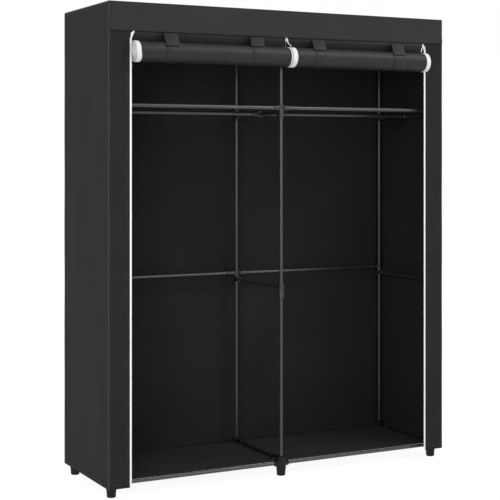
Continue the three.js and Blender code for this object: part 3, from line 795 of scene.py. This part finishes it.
# %% Header
# Its lower edge hangs a little lower at the left, as in the photograph, and stands proud
# because it lies over the doors' seam and the tops of the straps. Its cloth is a lighter copy
# of the cover's finish, which is painted light for the brighter header.
header_depth = roof - seam_height
header_drop, header_droop, header_stand, header_hem = 1.5, 6.0, 3.4, 0.7
hem_share, ripple_height, ripple_length = 0.81, 0.5, 233.0
u, share = grid(lined(width, 10),
                np.concatenate([np.linspace(0, 0.8, 10), [hem_share, 0.83, 0.85],
                                np.linspace(0.9, 1, 4)]))
v = share * (header_depth + header_drop + header_droop * (1 - (u / width) ** 2))
curl = (header_stand * smooth((share - 0.35) / 0.65)
        + header_hem * smooth((share - hem_share) / 0.03))
ripple = (ripple_height * share * np.sin(2 * np.pi * u / ripple_length + 0.7)
          * np.sin(np.pi * u / width))
header_piece = hung("cover_header", u, v, (left_wall, front_wall, roof), X, -Z, -Y, curl + ripple,
                    header_lit_black)
print(f"header {header_depth:.0f} mm, {header_droop:.0f} mm lower at the left")

# %% Front strips
# Each is folded over at the doorway, where the zip is sewn on, and follows the zip's bend.
zip_bend_start, zip_bend_rise, zip_bend_reach = 1590.0, 38.0, 12.0
fold_height, fold_at, fold_width = 1.1, 6.0, 2.2
groove_depth, groove_at, groove_width = 0.5, 1.5, 1.4
strip_slack, strip_waves, strip_hem = 0.7, (90.0, 60.0, 520.0), 0.8
tuck_depth, draw_share, draw_reach = 0.3, 0.12, 12.0


def zip_bend(z):
    """Reach * smooth((z - start) / rise): above its start the zip is drawn inwards, to where
    its tapes meet at the seam."""
    return zip_bend_reach * smooth((z - zip_bend_start) / zip_bend_rise)


doorway_gap, strip_tuck = 0.3, 7.0
doorway = abs(box_of("jamb_zip_left")[0][0]) + doorway_gap
strip_width = right_wall - doorway
strip_top = seam_height + strip_tuck
strip_length = strip_top - hem_height
for side, way, phase in (("left", -1, 0.9), ("right", 1, 2.6)):
    u, v = grid(np.concatenate([np.arange(0, 14, 1.0), np.linspace(15, strip_width, 14)]),
                lined(strip_length, 14, hemmed=True))
    bend = zip_bend(strip_top - v)
    u = u - bend * (1 - u / strip_width) ** 2
    fold = (fold_height * np.exp(-((u - fold_at) / fold_width) ** 2)
            - groove_depth * np.exp(-((u - groove_at) / groove_width) ** 2))
    behind = -tuck_depth * smooth((strip_top - seam_height + 3 - v) / 8)
    drawn = draw_share * bend * np.exp(-np.maximum(u, 0) / draw_reach)
    lift = (fold + behind + slack(u, v, strip_slack, phase, strip_waves)
            + hem(v, strip_length, strip_hem) + drawn)
    hung(f"cover_strip_{side}", u, v, (way * doorway, front_wall, strip_top),
                             X * way, -Z, -Y, lift)
print(f"strips {strip_width:.0f} x {strip_length:.0f} mm")

# %% [markdown]
# ## Piping
# The edges of the cover are bound with piping: a cord under a folded black tape, caught in the
# seam. It is a round section carried along the edge, with a slow, tiny wander, because sewn
# piping is never quite straight.

# %% Carry the piping along the edges
piping_radius, piping_inset, piping_wander = 2.3, 1.1, 0.35


def piping(start, end, phase, step=24.0):
    """Path_i = start + s_i * way, moved aside by a sine of s_i, and a circle about it."""
    start, end = np.asarray(start, float), np.asarray(end, float)
    length = np.linalg.norm(end - start)
    way = (end - start) / length
    s = np.linspace(0, length, int(length / step) + 2)[:, None]
    across = X if abs(way[0]) < 0.5 else Y
    wander = piping_wander * np.sin(s / 61 + phase) * np.sin(np.pi * s / length)
    path = start + s * way + wander * across
    return swept(ring_section(piping_radius), path, across)


edge_low, edge_high = cover_low + piping_inset, cover_high - piping_inset
corner_xy = [(edge_low[0], edge_low[1]), (edge_high[0], edge_low[1]),
             (edge_high[0], edge_high[1]), (edge_low[0], edge_high[1])]
upright = [piping((x, y, hem_height + 1), (x, y, edge_high[2]), i)
           for i, (x, y) in enumerate(corner_xy)]
rim_parts = [piping((*corner_xy[i], edge_high[2]), (*corner_xy[i - 1], edge_high[2]), i + 5)
             for i in range(4)]
upright_piping = piece("piping_uprights", upright, piping_black)
top_piping = piece("piping_top", rim_parts, piping_black)
print("piping", 2 * piping_radius, "mm thick on", len(upright) + len(rim_parts), "edges")

# %% Sew the cover
thread_lift = 0.25
front_face, back_face = cover_low[1] - thread_lift, cover_high[1] + thread_lift
left_face, right_face = cover_low[0] - thread_lift, cover_high[0] + thread_lift
top_seam, side_seam, hem_seam = roof - 8.0, 9.0, hem_height + hem_fold - 4.0
inner_seam, header_rows = 9.5, ((3.5, 0.65), (9.5, 0.4))
seam_end, edge_end = 8.0, 6.0
front_seams = [row_of((left_wall + seam_end, front_face, top_seam),
                      (right_wall - seam_end, front_face, top_seam), -Y)]
for way in (-1, 1):
    outer, inner = way * (right_wall - side_seam), way * (doorway + inner_seam)
    for x in (outer, inner):
        front_seams.append(row_of((x, front_face, hem_seam),
                                  (x, front_face, seam_height - seam_end), -Y))
    front_seams.append(row_of((inner, front_face - strip_hem, hem_seam),
                              (outer, front_face - strip_hem, hem_seam), -Y))
for rise, proud in header_rows:
    y, line = front_face - (header_stand + proud), seam_height + rise
    middle_line = line - 0.75 * header_droop
    front_seams += [row_of((left_wall + edge_end, y, line - header_droop), (0, y, middle_line), -Y),
                    row_of((2, y, middle_line), (right_wall - edge_end, y, line), -Y)]
side_seams = []
for x, face in ((left_face, -X), (right_face, X)):
    for y in (front_wall + side_seam, back_wall - side_seam):
        side_seams.append(row_of((x, y, hem_seam), (x, y, top_seam), face))
    for at, z in ((x + face[0] * hem_stand, hem_seam), (x, top_seam)):
        side_seams.append(row_of((at, front_wall + edge_end, z), (at, back_wall - edge_end, z),
                                 face))
back_seams = [row_of((left_wall + edge_end, y, z), (right_wall - edge_end, y, z), Y)
              for y, z in ((back_face + hem_stand, hem_seam), (back_face, top_seam))]
stitches = {name: piece(f"stitches_{name}", parts, thread_black)
            for name, parts in (("front", front_seams), ("sides", side_seams),
                                ("back", back_seams))}
print("stitches:", sum(len(made.data.vertices) for made in stitches.values()) // 12)

# %% [markdown]
# ## Floor sheet
# The floor is one cloth that is laid over the bottom rails and under the depth bars. It sags
# between the rails. It is cut out round the feet and posts, so its grid has lines on the
# edges of the cut-outs, and the quads inside them are left out.

# %% The floor sheet's grid and sag
floor_low, floor_high, _ = box_of("floor_sheet")
cut_x, arm_gap, slot_y, cup_gap = 31.0, 10.0, 53.0, 19.2
cut_lines = np.array([3.5, 7.0, arm_gap, 13.6, 16.8, cup_gap])
floor_sag, floor_wrinkle, floor_fold = 7.0, 0.8, 1.2
wrinkle_length, wrinkle_bend, floor_edge = 96.0, 50.0, 6.0


def with_lines(low, high, count, lines):
    """Even stations from low to high, and the lines of the cut-outs between them."""
    stations = np.unique(np.round(np.append(np.linspace(low, high, count), lines), 2))
    return stations[(stations >= low) & (stations <= high)]


x_lines = [x + way * np.append(cut_lines, cut_x) for x in post_x.values() for way in (-1, 1)]
y_lines = [post_y[row] + inward[row] * np.append(cut_lines, slot_y) for row in rows]
x, y = grid(with_lines(floor_low[0], floor_high[0], 110, x_lines),
            with_lines(floor_low[1], floor_high[1], 40, y_lines))
across_bay = np.abs(np.sin(np.pi * x / post_x["right"]))
share = (y - post_y["front"]) / (post_y["rear"] - post_y["front"])
along_depth = np.sin(np.pi * np.clip(share, 0, 1))
sag = floor_sag * along_depth ** 0.8 * (0.25 + 0.75 * across_bay)
wrinkle = (floor_wrinkle * along_depth * across_bay
           * np.sin(2 * np.pi * x / wrinkle_length + 1.2 * np.sin(y / wrinkle_bend)))
folded = floor_fold * (smooth(1 - (y - floor_low[1]) / floor_edge)
                       + smooth(1 - (floor_high[1] - y) / floor_edge))
z = floor_high[2] - cloth_thickness / 2 - sag + wrinkle - folded

# %% Cut it out round the feet and lay it
# A cut-out is a slot under each arm of the foot and a circle round its cup. Points near the
# circle are moved out onto it, so that its edge is round.
points, (quads,) = surface(np.stack([x, y, z], -1))
middle = points[quads].mean(1)
inside = np.zeros(len(quads), bool)
for centre_x in post_x.values():
    for row in rows:
        off_x, off_y = np.abs(middle[:, 0] - centre_x), (middle[:, 1] - post_y[row]) * inward[row]
        for reach_x, reach_y in ((cut_x, arm_gap), (arm_gap, slot_y)):
            inside |= (off_x < reach_x) & (off_y < reach_y)
        inside |= np.hypot(off_x, off_y) < cup_gap
        off = points[:, :2] - (centre_x, post_y[row])
        near = np.maximum(np.hypot(*off.T), 1.0)
        points[:, :2] += off * (np.maximum(cup_gap / near, 1) - 1)[:, None] * (near > 12)[:, None]
used, kept = np.unique(quads[~inside], return_inverse=True)
floor_piece = thicken(piece("floor_cloth", [(points[used], [kept.reshape(-1, 4)])], floor_black,
                            replaces=["floor_sheet"],
                            uv=points[used][:, :2] - floor_low[:2]), cloth_thickness)
floor_seam, seam_from, seam_to = 9.0, 40.0, 634.0
floor_hem = [row_of((way * seam_from, y, floor_high[2]), (way * seam_to, y, floor_high[2]), Z)
             for y in (floor_low[1] + floor_seam, floor_high[1] - floor_seam) for way in (-1, 1)]
floor_stitches = piece("stitches_floor", floor_hem, thread_black)
print("quads cut out round the feet:", inside.sum())

# %% [markdown]
# ## Side zips
# A white tape runs down the edge of each front strip, with the nylon coil along its free
# edge. The coil's turns are 1.2 mm apart on the real one; here they are twice as far apart
# and twice as long, because finer ones wouldn't show and would cost four times the faces.

# %% Make the side zips
coil_pitch, coil_size = 2.4, (1.9, 1.5, 1.7)
zip_tuck, tape_wall, coil_inset = 8.0, 0.9, 1.0
tape_wave, tape_wave_length, tape_draw = 0.12, 23.0, 0.14
for side, way in (("left", -1), ("right", 1)):
    node_name = f"jamb_zip_{side}"
    low, high, middle = box_of(node_name)
    top = high[2] - zip_tuck
    s = np.unique(np.append(np.linspace(low[2], top, 70), np.linspace(zip_bend_start, top, 12)))
    bend = zip_bend(s)
    tape_y = middle[1] + tape_wave * np.sin(s / tape_wave_length) - tape_draw * bend
    tape_width = high[0] - low[0]
    tape = swept(rounded_box(tape_width, tape_wall, 0.4),
                 np.stack([middle[0] - way * bend, tape_y, s], 1), X)
    inner = way * (abs(middle[0]) - tape_width / 2 + coil_inset)
    turn = (inner, low[1], zip_bend_start + 4)
    coil = row_of((inner, low[1], low[2]), turn, -Y, coil_pitch, coil_size)
    top_coil = row_of(turn, (inner - way * zip_bend(top), low[1] - 1.5, top - 1), -Y,
                      coil_pitch, coil_size)
    piece(f"side_zip_tape_{side}", [tape], zip_tape, replaces=[node_name])
    piece(f"side_zip_coil_{side}", [coil, top_coil], zip_coil, replaces=[node_name])
print("coil turns:", len(coil[0]) // 12, "on each side")

# %% [markdown]
# ## The rolled doors
# Each door hangs from the header's seam behind the cloth, runs down to the back of the roll
# and is wound from there: down the back, under, up the front and over, inwards. The whole
# door is one length of cloth, so the winding's pitch follows from its length: a spiral from
# radius R to r takes up pi * (R^2 - r^2) / pitch. The stretch next to the seam is short, and
# its rows are close together at rest, spaced so that they would be even if it were let down.

# %% The door's line in section
seam_y = front_wall
door_drop = seam_height - hem_height
strip_drop = 8.7
door_cloth = 0.8
roll_radius, core_radius = 37.6, 7.2
roll_y, roll_z = -212.6, 1549.0
travel = 1475.0
turn_steps = 44


def leaving(start, radius, side):
    """Angle on the roll at which the line from start touches it: the angle to start plus or
    minus arccos(radius / distance)."""
    offset = np.asarray(start) - (roll_y, roll_z)
    return math.atan2(offset[1], offset[0]) + side * math.acos(radius / np.hypot(*offset))


def on_roll(radius, angle):
    """(y, z) at a radius and an angle about the roll's axis."""
    return np.stack([roll_y + radius * np.cos(angle), roll_z + radius * np.sin(angle)], -1)


flap_start = np.array([seam_y, seam_height - strip_drop])
flap_angle = leaving(flap_start, roll_radius, -1)
flap_end = on_roll(roll_radius, flap_angle)
flap_length = np.hypot(*(flap_end - flap_start))
wound_length = door_drop - strip_drop - flap_length
pitch = math.pi * (roll_radius ** 2 - core_radius ** 2) / wound_length
turns = (roll_radius - core_radius) / pitch
print(f"door {door_drop:.0f} mm: {turns:.1f} turns at a pitch of {pitch:.2f} mm")


def door_line(outset=0.0):
    """Rows of (turned angle, y, z, length from the seam): a straight flap, then a spiral with
    radius = R - pitch * turned / (2 pi), moved out by outset."""
    t = np.linspace(0, 1, 9)[:-1, None]
    flap = flap_start + t * (flap_end - flap_start)
    turned_by = np.linspace(0, 2 * np.pi * turns, int(turns * turn_steps))
    coil = on_roll(roll_radius + outset - pitch * turned_by / (2 * np.pi), flap_angle - turned_by)
    line = np.vstack([flap, coil])
    s = strip_drop + np.append(0, np.cumsum(np.hypot(*np.diff(line, axis=0).T)))
    return np.append(np.zeros(len(flap)), turned_by), line, s


print(f"the flap runs {flap_length:.0f} mm down to the roll")

# %% Hanging stretch next to the seam
hanging_rows, seam_tape = 120, 2.2
door_in, door_out = 1.4, 611.4
cloth_edge_rolled = {"left": (6.0, 593.2), "right": (20.7, 593.2)}


def edges(bay, share, shown):
    """|x| of the door's inner end, of the cloth's two edges and of its outer end. Above the
    roll that much of the tape is shown, and on the roll, at share 1, its full width."""
    cloth_in, cloth_out = cloth_edge_rolled[bay]
    return (door_in, door_in + shown + (cloth_in - door_in - shown) * share,
            door_out - shown + (cloth_out - door_out + shown) * share, door_out)


def between_edges(bay, way, first, shown):
    """The x of an edge and of the next one, as a function of a row's share."""
    return lambda share: [way * edge for edge in edges(bay, share, shown)[first:first + 2]]


def hanging(name, span, columns, wave, finish, thickness, bay):
    """Weight w of a row is even from 0 to 1, and its place t on the stretch solves
    3 t^2 - 2 t^3 = w, so t = 1/2 - sin(asin(1 - 2 w) / 3). Its ends are those that span gives
    at share 0. The map counts let-down cloth."""
    w = np.linspace(0, 1, hanging_rows)
    t = 0.5 - np.sin(np.arcsin(1 - 2 * w) / 3)
    x, t = np.meshgrid(np.linspace(*span(0), columns), t)
    let_down = strip_drop * t + travel * (3 * t * t - 2 * t ** 3)
    y = seam_y + wave * np.sin(2 * np.pi * x / 167 + 0.5) * np.sin(np.pi * t)
    points = np.stack([x, y, seam_height - strip_drop * t], -1)
    uv = np.stack([x, let_down], -1).reshape(-1, 2)
    made = thicken(piece(name, [surface(points)], finish, None, [f"door_{bay}_flap"], uv),
                   thickness)
    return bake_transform(made)


print(f"{hanging_rows} rows in a stretch of {strip_drop} mm")

# %% Give the windings their own meshes
# Each winding is given a mesh of its own. The planes and the share that would press it flat
# when its door is let down are set here but not used. The left roll's end leans over the
# front strip, so its tape would go behind the strip, and the right one's between the slider's
# plates.
squash_keep, door_plane, strap_plane = 0.04, front_wall - 0.4, front_wall - 3.5
outer_press = {"left": (front_wall + 4.8, 0.02), "right": (front_wall - 0.2, 0.01)}


def flattens(made, bay, plane=door_plane, keep=squash_keep):
    """Gives the piece its own copy of its mesh and nothing else; bay, plane and keep are not used.
    """
    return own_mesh(made)


print(f"a roll keeps {100 * squash_keep:.0f} % of its depth when its door is down")

# %% Winding of the cloth and its tapes
end_skew, end_cone, end_reach = 7.0, 9.0, 75.0
tape_behind, tape_wander = 1.3, 1.3
# Each wave of lumps: height, length along x, drift with the turned angle, and phase.
lump_waves, lump_sink = ((0.4, 187.0, 0.9, 0.0), (0.25, 71.0, -2.0, 1.0)), 0.1


def pushed_out(x, y, z):
    """Shift of the left roll's outer end: at the front it leans outwards by skew, and the
    inner turns stand out by cone * (1 - r / R). It is 0 behind the zip's plane and low down,
    where the slider passes, and dies out over the reach along x."""
    radius = np.hypot(y - roll_y, z - roll_z)
    share = smooth((roll_y + 9.0 - y) / 10) * smooth((z - roll_z + 36) / 40)
    near = smooth((-x - cloth_edge_rolled["left"][1] + end_reach) / end_reach)
    return -near * share * (end_skew + end_cone * np.clip(1 - radius / roll_radius, 0, 1))


def rolled(name, span, columns, finish, thickness, bay, replaced, outset=0.0, tape=False):
    """Point(i, c) = (x_i + c * (x'_i - x_i) + push, line_i + lump(x, turned_i) * direction
    from the axis), where span gives a row's two ends. Cloth has lumps that die out at the
    flap. A tape has none: its flap lies behind the cloth's, and its turns wander sideways."""
    turned_by, line, s = door_line(outset)
    on_flap = (s - strip_drop) / flap_length
    share = smooth((on_flap - 0.45) / 0.5)
    start, end = (np.broadcast_to(side, share.shape)[:, None] for side in span(share))
    x = start + np.linspace(0, 1, columns) * (end - start)
    angle = turned_by[:, None]
    lump = sum(height * np.sin(2 * np.pi * x / length + drift * angle + phase)
               for height, length, drift, phase in lump_waves)
    lump = smooth(angle / 2.5) * (lump - lump_sink)
    away = line - (roll_y, roll_z)
    away = away / np.hypot(*away.T)[:, None]
    wander = 0.0
    if tape:
        behind = on_roll(tape_behind, flap_angle) - (roll_y, roll_z)
        line = line + (1 - smooth((on_flap - 0.7) / 0.3))[:, None] * behind
        lump = 0 * lump
        wander = tape_wander * np.sign(x) * smooth(angle / 3) * np.sin(1.1 * angle + 0.4)
    y, z = np.moveaxis(line[:, None] + lump[..., None] * away[:, None], -1, 0)
    push = pushed_out(x, y, z)
    points = np.stack([x + push + wander * (push != 0), y, z], -1)
    uv = np.stack(np.broadcast_arrays(x, s[:, None] + travel), -1).reshape(-1, 2)
    made = piece(name, [surface(points)], finish, f"door_{bay}", replaced, uv)
    return thicken(made, thickness)


print("the left roll's end stands out by up to", end_skew + end_cone, "mm")

# %% Roll up both doors
tape_thickness, tape_outset, flap_tape = 1.5, 0.3, 6.0
door_parts = {}
for bay, way in (("left", -1), ("right", 1)):
    strip = hanging(f"door_cloth_{bay}_hanging", between_edges(bay, way, 1, seam_tape), 48, 0.9,
                    door_black, door_cloth, bay)
    roll = rolled(f"door_cloth_{bay}_rolled", between_edges(bay, way, 1, 0.0), 64, door_black,
                  door_cloth, bay, [f"door_{bay}_flap", f"door_{bay}_roll"])
    flattens(roll, bay)
    tapes = []
    for edge, first, press in (("inner", 0, ()), ("outer", 2, outer_press[bay])):
        node_name = f"door_{bay}_zip_{edge}"
        tapes.append(hanging(f"{node_name}_hanging", between_edges(bay, way, first, seam_tape),
                             5, 0.2, zip_tape, tape_thickness, bay))
        wound = rolled(f"{node_name}_rolled", between_edges(bay, way, first, flap_tape), 7,
                       wound_tape_with_shade, tape_thickness, bay, [node_name], tape_outset, True)
        tapes.append(flattens(wound, bay, *press))
    door_parts[bay] = (strip, roll, tapes)
print("doors:", {bay: len(parts[1].data.vertices) for bay, parts in door_parts.items()})

# %% [markdown]
# ## Straps and tabs
# Two straps hold each roll. A strap is a band of the doors' cloth, sewn into the header's seam.
# It runs over the front of the roll and under it, and comes up its back, where hook-and-loop
# tape closes it. It hugs the door's outer turn, so its radius shrinks with the spiral's. A
# shorter, doubled tab of webbing lies over it from the seam, sewn round its edge, and its free
# end stands a little off the roll. Both are a thin section with round corners on one line.

# %% The straps' line
strap_width, strap_thickness, strap_rows = 50.0, 0.6, 60
strap_radius = roll_radius + door_cloth / 2 + strap_thickness / 2 + 0.4
strap_top, strap_proud = seam_height - 10.2, 1.1
run_rows = 14


def hugging(radius, angle):
    """A radius at the door's first turn, less the pitch wound off from there to the angle."""
    return radius - pitch * (flap_angle + 2 * math.pi - angle) / (2 * math.pi)


def strap_line(radius, lift, end_angle, rows, flare=0.0):
    """A straight run from the seam to where it touches the roll's front, then a line on the
    roll's outer turn to end_angle, which stands off by flare * share^3 towards its end."""
    start = np.array([seam_y - strap_proud - lift, strap_top])
    touch = leaving(start, hugging(radius, leaving(start, radius, 1)), 1)
    t = np.linspace(0, 1, run_rows)[:-1, None]
    run = start + t * (on_roll(hugging(radius, touch), touch) - start)
    angle = np.linspace(touch, end_angle, rows)
    stand = hugging(radius, angle) + flare * np.linspace(0, 1, rows) ** 3
    return np.vstack([run, on_roll(stand, angle)]), touch


def ribbon(x, line, width, thickness, skew=0.0):
    """A section with round corners along a line in the plane of y and z, which starts at
    skew to the side and runs straight once it is on the roll."""
    aside = skew * np.clip(1 - np.arange(len(line)) / (run_rows - 1), 0, 1)
    path = np.column_stack([x + aside, line])
    return swept(rounded_box(width, thickness, 0.45 * thickness, 3), path, X)


def down_to(line, z_end, rows=14):
    """The line's part above z_end: places interpolated at even steps of its length."""
    length = np.append(0, np.cumsum(np.hypot(*np.diff(line, axis=0).T)))
    end = np.interp(-z_end, -line[:, 1], length)
    at = np.linspace(0, end, rows)
    return np.column_stack([np.interp(at, length, line[:, axis]) for axis in (0, 1)])


print("straps", strap_width, "mm wide at a radius of", round(strap_radius, 1), "mm")

# %% Carry the straps round the rolls
# Each strap has its place along the roll, how far its top is aside of it, and its tab's end.
strap_places = {"left": ((-478, 10, 1569.5), (-138, 13, 1582)),
                "right": ((122, 12, 1577.5), (469, 20, 1571.5))}
tab_width, tab_thickness, tab_over, tab_lift, tab_flare = 54.0, 2.1, 1.7, 1.6, 1.0
edge_row, end_row, row_lift = 23.5, 23.0, (1.3, 0)
skew_at_top, skew_at_end = 0.85, 0.1
free_end = np.array([0.2, 0.6, 1.2, 2.0])
full_line, touch = strap_line(strap_radius, 0.0, flap_angle + 2 * math.pi - 0.06, strap_rows)
tab_whole, _ = strap_line(strap_radius + tab_over, tab_lift, touch + 0.5, 24, tab_flare)
for bay, places in strap_places.items():
    tabs, bands, sewing = [], [], []
    for x, skew, z_end in places:
        tab_line = down_to(tab_whole, z_end)
        tab_line[-4:, 0] -= free_end
        bands.append(ribbon(x, full_line, strap_width, strap_thickness, skew))
        tabs.append(ribbon(x, tab_line, tab_width, tab_thickness, skew))
        top, bottom = tab_line[2] - row_lift, tab_line[-2] - row_lift
        facing = np.array([0, top[1] - bottom[1], bottom[0] - top[0]])
        facing = -facing / np.linalg.norm(facing) * np.sign(facing[1])
        sewing += [row_of((x + edge + skew * skew_at_top, *top),
                          (x + edge + skew * skew_at_end, *bottom), facing)
                   for edge in (-edge_row, edge_row)]
        sewing.append(row_of((x - end_row, *bottom), (x + end_row, *bottom), facing))
    flap = [f"door_{bay}_flap"]
    band = piece(f"strap_bands_{bay}", bands, band_black, replaces=flap)
    tab = piece(f"strap_tabs_{bay}", tabs, strap_black, replaces=flap)
    sewn = piece(f"stitches_straps_{bay}", sewing, thread_black)
    straps = [flattens(made, bay, strap_plane) for made in (tab, band, sewn)]
    strip, roll, tapes = door_parts[bay]
print("straps at", strap_places)

# %% [markdown]
# ## Zip sliders
# A slider is two small plates, joined by a wedge that parts the coils, and a loop on the front
# that holds the pull. All of it is worked out along three directions, so the same function
# makes all three. The middle slider leans with the flaps. A side slider leans inwards at its
# top and sits a little inwards of its node's middle, because its tape is drawn in there.

# %% A slider's form
plate_outline = np.array([[-3.0, -6], [3.0, -6], [3.6, -2], [4.6, 3], [4.2, 6], [1.2, 6],
                          [0, 4.6], [-1.2, 6], [-4.2, 6], [-4.6, 3], [-3.6, -2]])
side_width, middle_width = 9.5, 9.0
plate_wall, plate_behind, plate_front, plate_round = 1.3, -1.7, 2.3, 0.4
wedge_width, wedge_height, wedge_corner, wedge_rise = 2.2, 4.0, 0.8, 2.5
loop_width, loop_wire, loop_rise, loop_reach, loop_foot = 2.6, 1.1, 3.6, 1.9, 0.2
# The pull and the rim of its hole: outline, how far in front, how far down, and thickness.
pull_plates = ((rounded_box(4.8, 17, 2.2), 1.3, 9.0, 1.1),
               (rounded_box(3.0, 9.5, 1.3), 1.5, 11.0, 1.3))


def slider(origin, across, up, out, width, aside=0.0):
    """Plates: the outline in (across, up) at the two depths. Wedge: aside of the middle, past
    the coil. Loop: a half circle in (up, out). Pull: a long round-cornered plate with a hole's
    rim, hanging from the loop."""
    origin = np.asarray(origin, float)
    outline = plate_outline * [width / side_width, 1]
    parts = [slab(outline, origin + at * out, across, up, plate_wall, plate_round)
             for at in (plate_behind, plate_front)]
    centre = origin + aside * across + up * wedge_rise + out * (plate_behind + plate_front) / 2
    wedge = rounded_box(wedge_width, wedge_height, wedge_corner)
    parts.append(slab(wedge, centre, across, up, plate_front - plate_behind, plate_round / 2))
    t = np.linspace(0, np.pi, 12)[:, None]
    loop = (origin + out * (plate_front + loop_foot) + loop_rise * np.cos(t) * up
            + loop_reach * np.sin(t) * out)
    parts.append(swept(rounded_box(loop_width, loop_wire, plate_round, 3), loop, across))
    for plate, front, drop, wall in pull_plates:
        centre = origin + out * (plate_front + front) - up * drop
        parts.append(slab(plate, centre, across, up, wall, plate_round))
    return parts


# %% Make the sliders
slider_lean, slider_inset, slider_drop, wedge_aside = math.radians(14), 1.8, 6.0, 1.4
middle_drop, middle_behind = 10.0, 0.6
for side, way in (("left", -1), ("right", 1)):
    low, high, middle = box_of(f"zip_slider_{side}")
    centre = (middle[0] - way * slider_inset, front_wall, high[2] - slider_drop)
    upward = Z * math.cos(slider_lean) - X * way * math.sin(slider_lean)
    piece(f"zip_slider_{side}_cast",
          slider(centre, np.cross(-Y, upward), upward, -Y, side_width, way * wedge_aside),
          zip_enamel, f"slider_{side}", [f"zip_slider_{side}"])
low, high, middle = box_of("zip_slider_centre")
lean = math.atan2(flap_end[0] - flap_start[0], flap_start[1] - flap_end[1])
upward = np.array([0, -math.sin(lean), math.cos(lean)])
centre = (0, middle[1] + middle_behind, high[2] - middle_drop)
piece("zip_slider_centre_cast",
      slider(centre, X, upward, np.cross(upward, X), middle_width), zip_enamel, "root",
      ["zip_slider_centre"])
print(f"the middle slider leans by {math.degrees(lean):.1f} degrees")

# %% Ends of the zips above the rolls
# From the header's seam a tape runs to the slider, and from there one half goes to the roll.
tail_width = 3.2


def tail(points, width, thickness=1.0):
    """A ribbon through a few points, made smooth by a cosine between them."""
    points = np.asarray(points, float)
    t = np.linspace(0, len(points) - 1, 8 * (len(points) - 1) + 1)
    whole = np.minimum(t.astype(int), len(points) - 2)
    part = (1 - np.cos(np.pi * (t - whole)))[:, None] / 2
    path = points[whole] * (1 - part) + points[whole + 1] * part
    path[:, 2] = np.interp(t, np.arange(len(points)), points[:, 2])
    return swept(rounded_box(width, thickness, 0.4 * thickness, 3), path, X)


tail_points = {
    "middle": [(2.2, front_wall - 3.4, 1616), (3, front_wall - 6, 1603), (9, roll_y - 3, 1589)],
    "right": [(609, front_wall - 3.4, 1614), (600, front_wall - 7, 1602), (589, roll_y - 3, 1589)]}
for name, points in tail_points.items():
    flattens(piece(f"zip_tail_{name}", [tail(points, tail_width)], zip_tape, "door_right"), "right")
print("loose zip ends:", ", ".join(tail_points))

# %% [markdown]
# ## Floor, light and background
# The photograph has a white ground, and its light is so even that the cloth shows hardly any
# shade: it was taken in something like a light tent. So a white surround gives most of the
# light. A softbox at the front left fills the front, one high up at the front right gives the
# header and the tops of the rolls their gleam, and two weaker ones light the left side and,
# from the right, the front. The doorway lets only part of the light in, which keeps the inside
# dark. The ground's own material glows white for the camera and in reflections alone, so no
# extra light falls on the object.

# %% Light it
softboxes = {  # place, what it looks at, size in metres, power in watts
    "softbox_left": ((-4.6, 0.6, 1.5), (-0.7, 0.03, 0.9), (2.4, 2.6), 22),
    "softbox_front": ((2.0, -2.3, 4.3), (0, -0.2, 1.3), (2.0, 0.8), 46),
    "softbox_fill": ((-3.4, -4.6, 1.8), (0.3, 0, 0.9), (1.6, 2.2), 72),
    "softbox_right": ((2.6, -4.6, 1.6), (0.0, 0, 0.9), (0.9, 2.2), 10)}
for name, (place, target, size, power) in softboxes.items():
    data = bpy.data.lights.new(name, "AREA")
    data.shape, data.size, data.size_y, data.energy = "RECTANGLE", *size, power
    lamp = bpy.data.objects.new(name, data)
    way = np.array(target, float) - place
    lamp.location = place
    lamp.rotation_euler = (math.atan2(math.hypot(way[0], way[1]), -way[2]), 0,
                           math.atan2(-way[0], way[1]))
    bpy.context.collection.objects.link(lamp)
print("softboxes:", len(softboxes), "with", sum(box[-1] for box in softboxes.values()), "W")

# %% A white that only the camera and the gloss see
surround_strength = 0.72
paper_share, paper_glow = 0.85, 1.1
white = (1, 1, 1, 1)


def white_to_the_camera(tree, base, share, strength=1.0):
    """Mixes a share of white glow into a shader, for camera, glossy and transmission rays."""
    path = node(tree, "ShaderNodeLightPath")
    seen = path, "Is Camera Ray"
    for ray in ("Is Glossy Ray", "Is Transmission Ray"):
        seen = node(tree, "ShaderNodeMath", links={0: seen, 1: (path, ray)},
                    operation="MAXIMUM"), "Value"
    part = node(tree, "ShaderNodeMath", {1: share}, {0: seen}, operation="MULTIPLY")
    glow = node(tree, "ShaderNodeEmission", {"Color": white, "Strength": strength})
    return node(tree, "ShaderNodeMixShader",
                links={0: (part, "Value"), 1: (base, 0), 2: (glow, "Emission")})


world = bpy.data.worlds.new("studio")
bpy.context.scene.world = world
world.use_nodes = True
tree = world.node_tree
tree.nodes.clear()
surround = node(tree, "ShaderNodeBackground", {"Color": white, "Strength": surround_strength})
mixed = white_to_the_camera(tree, surround, 1.0)
node(tree, "ShaderNodeOutputWorld", links={"Surface": (mixed, "Shader")})
print("surround of strength", surround_strength)

# %% Lay the ground and finish
paper, tree, shader = finish("white_paper", Base_Color=linear("#f2f2f2"), Roughness=0.9)
mixed = white_to_the_camera(tree, shader, paper_share, paper_glow)
output = next(made for made in tree.nodes if made.type == "OUTPUT_MATERIAL")
tree.links.new(mixed.outputs["Shader"], output.inputs["Surface"])
ground_reach, ground_drop = 9000.0, 0.2
lines = np.linspace(-ground_reach, ground_reach, 3)
x, y = grid(lines, lines)
ground = piece("ground", [surface(np.stack([x, y, 0 * x - ground_drop], -1))], paper, body=None)

bpy.context.scene.view_settings.view_transform = "Standard"
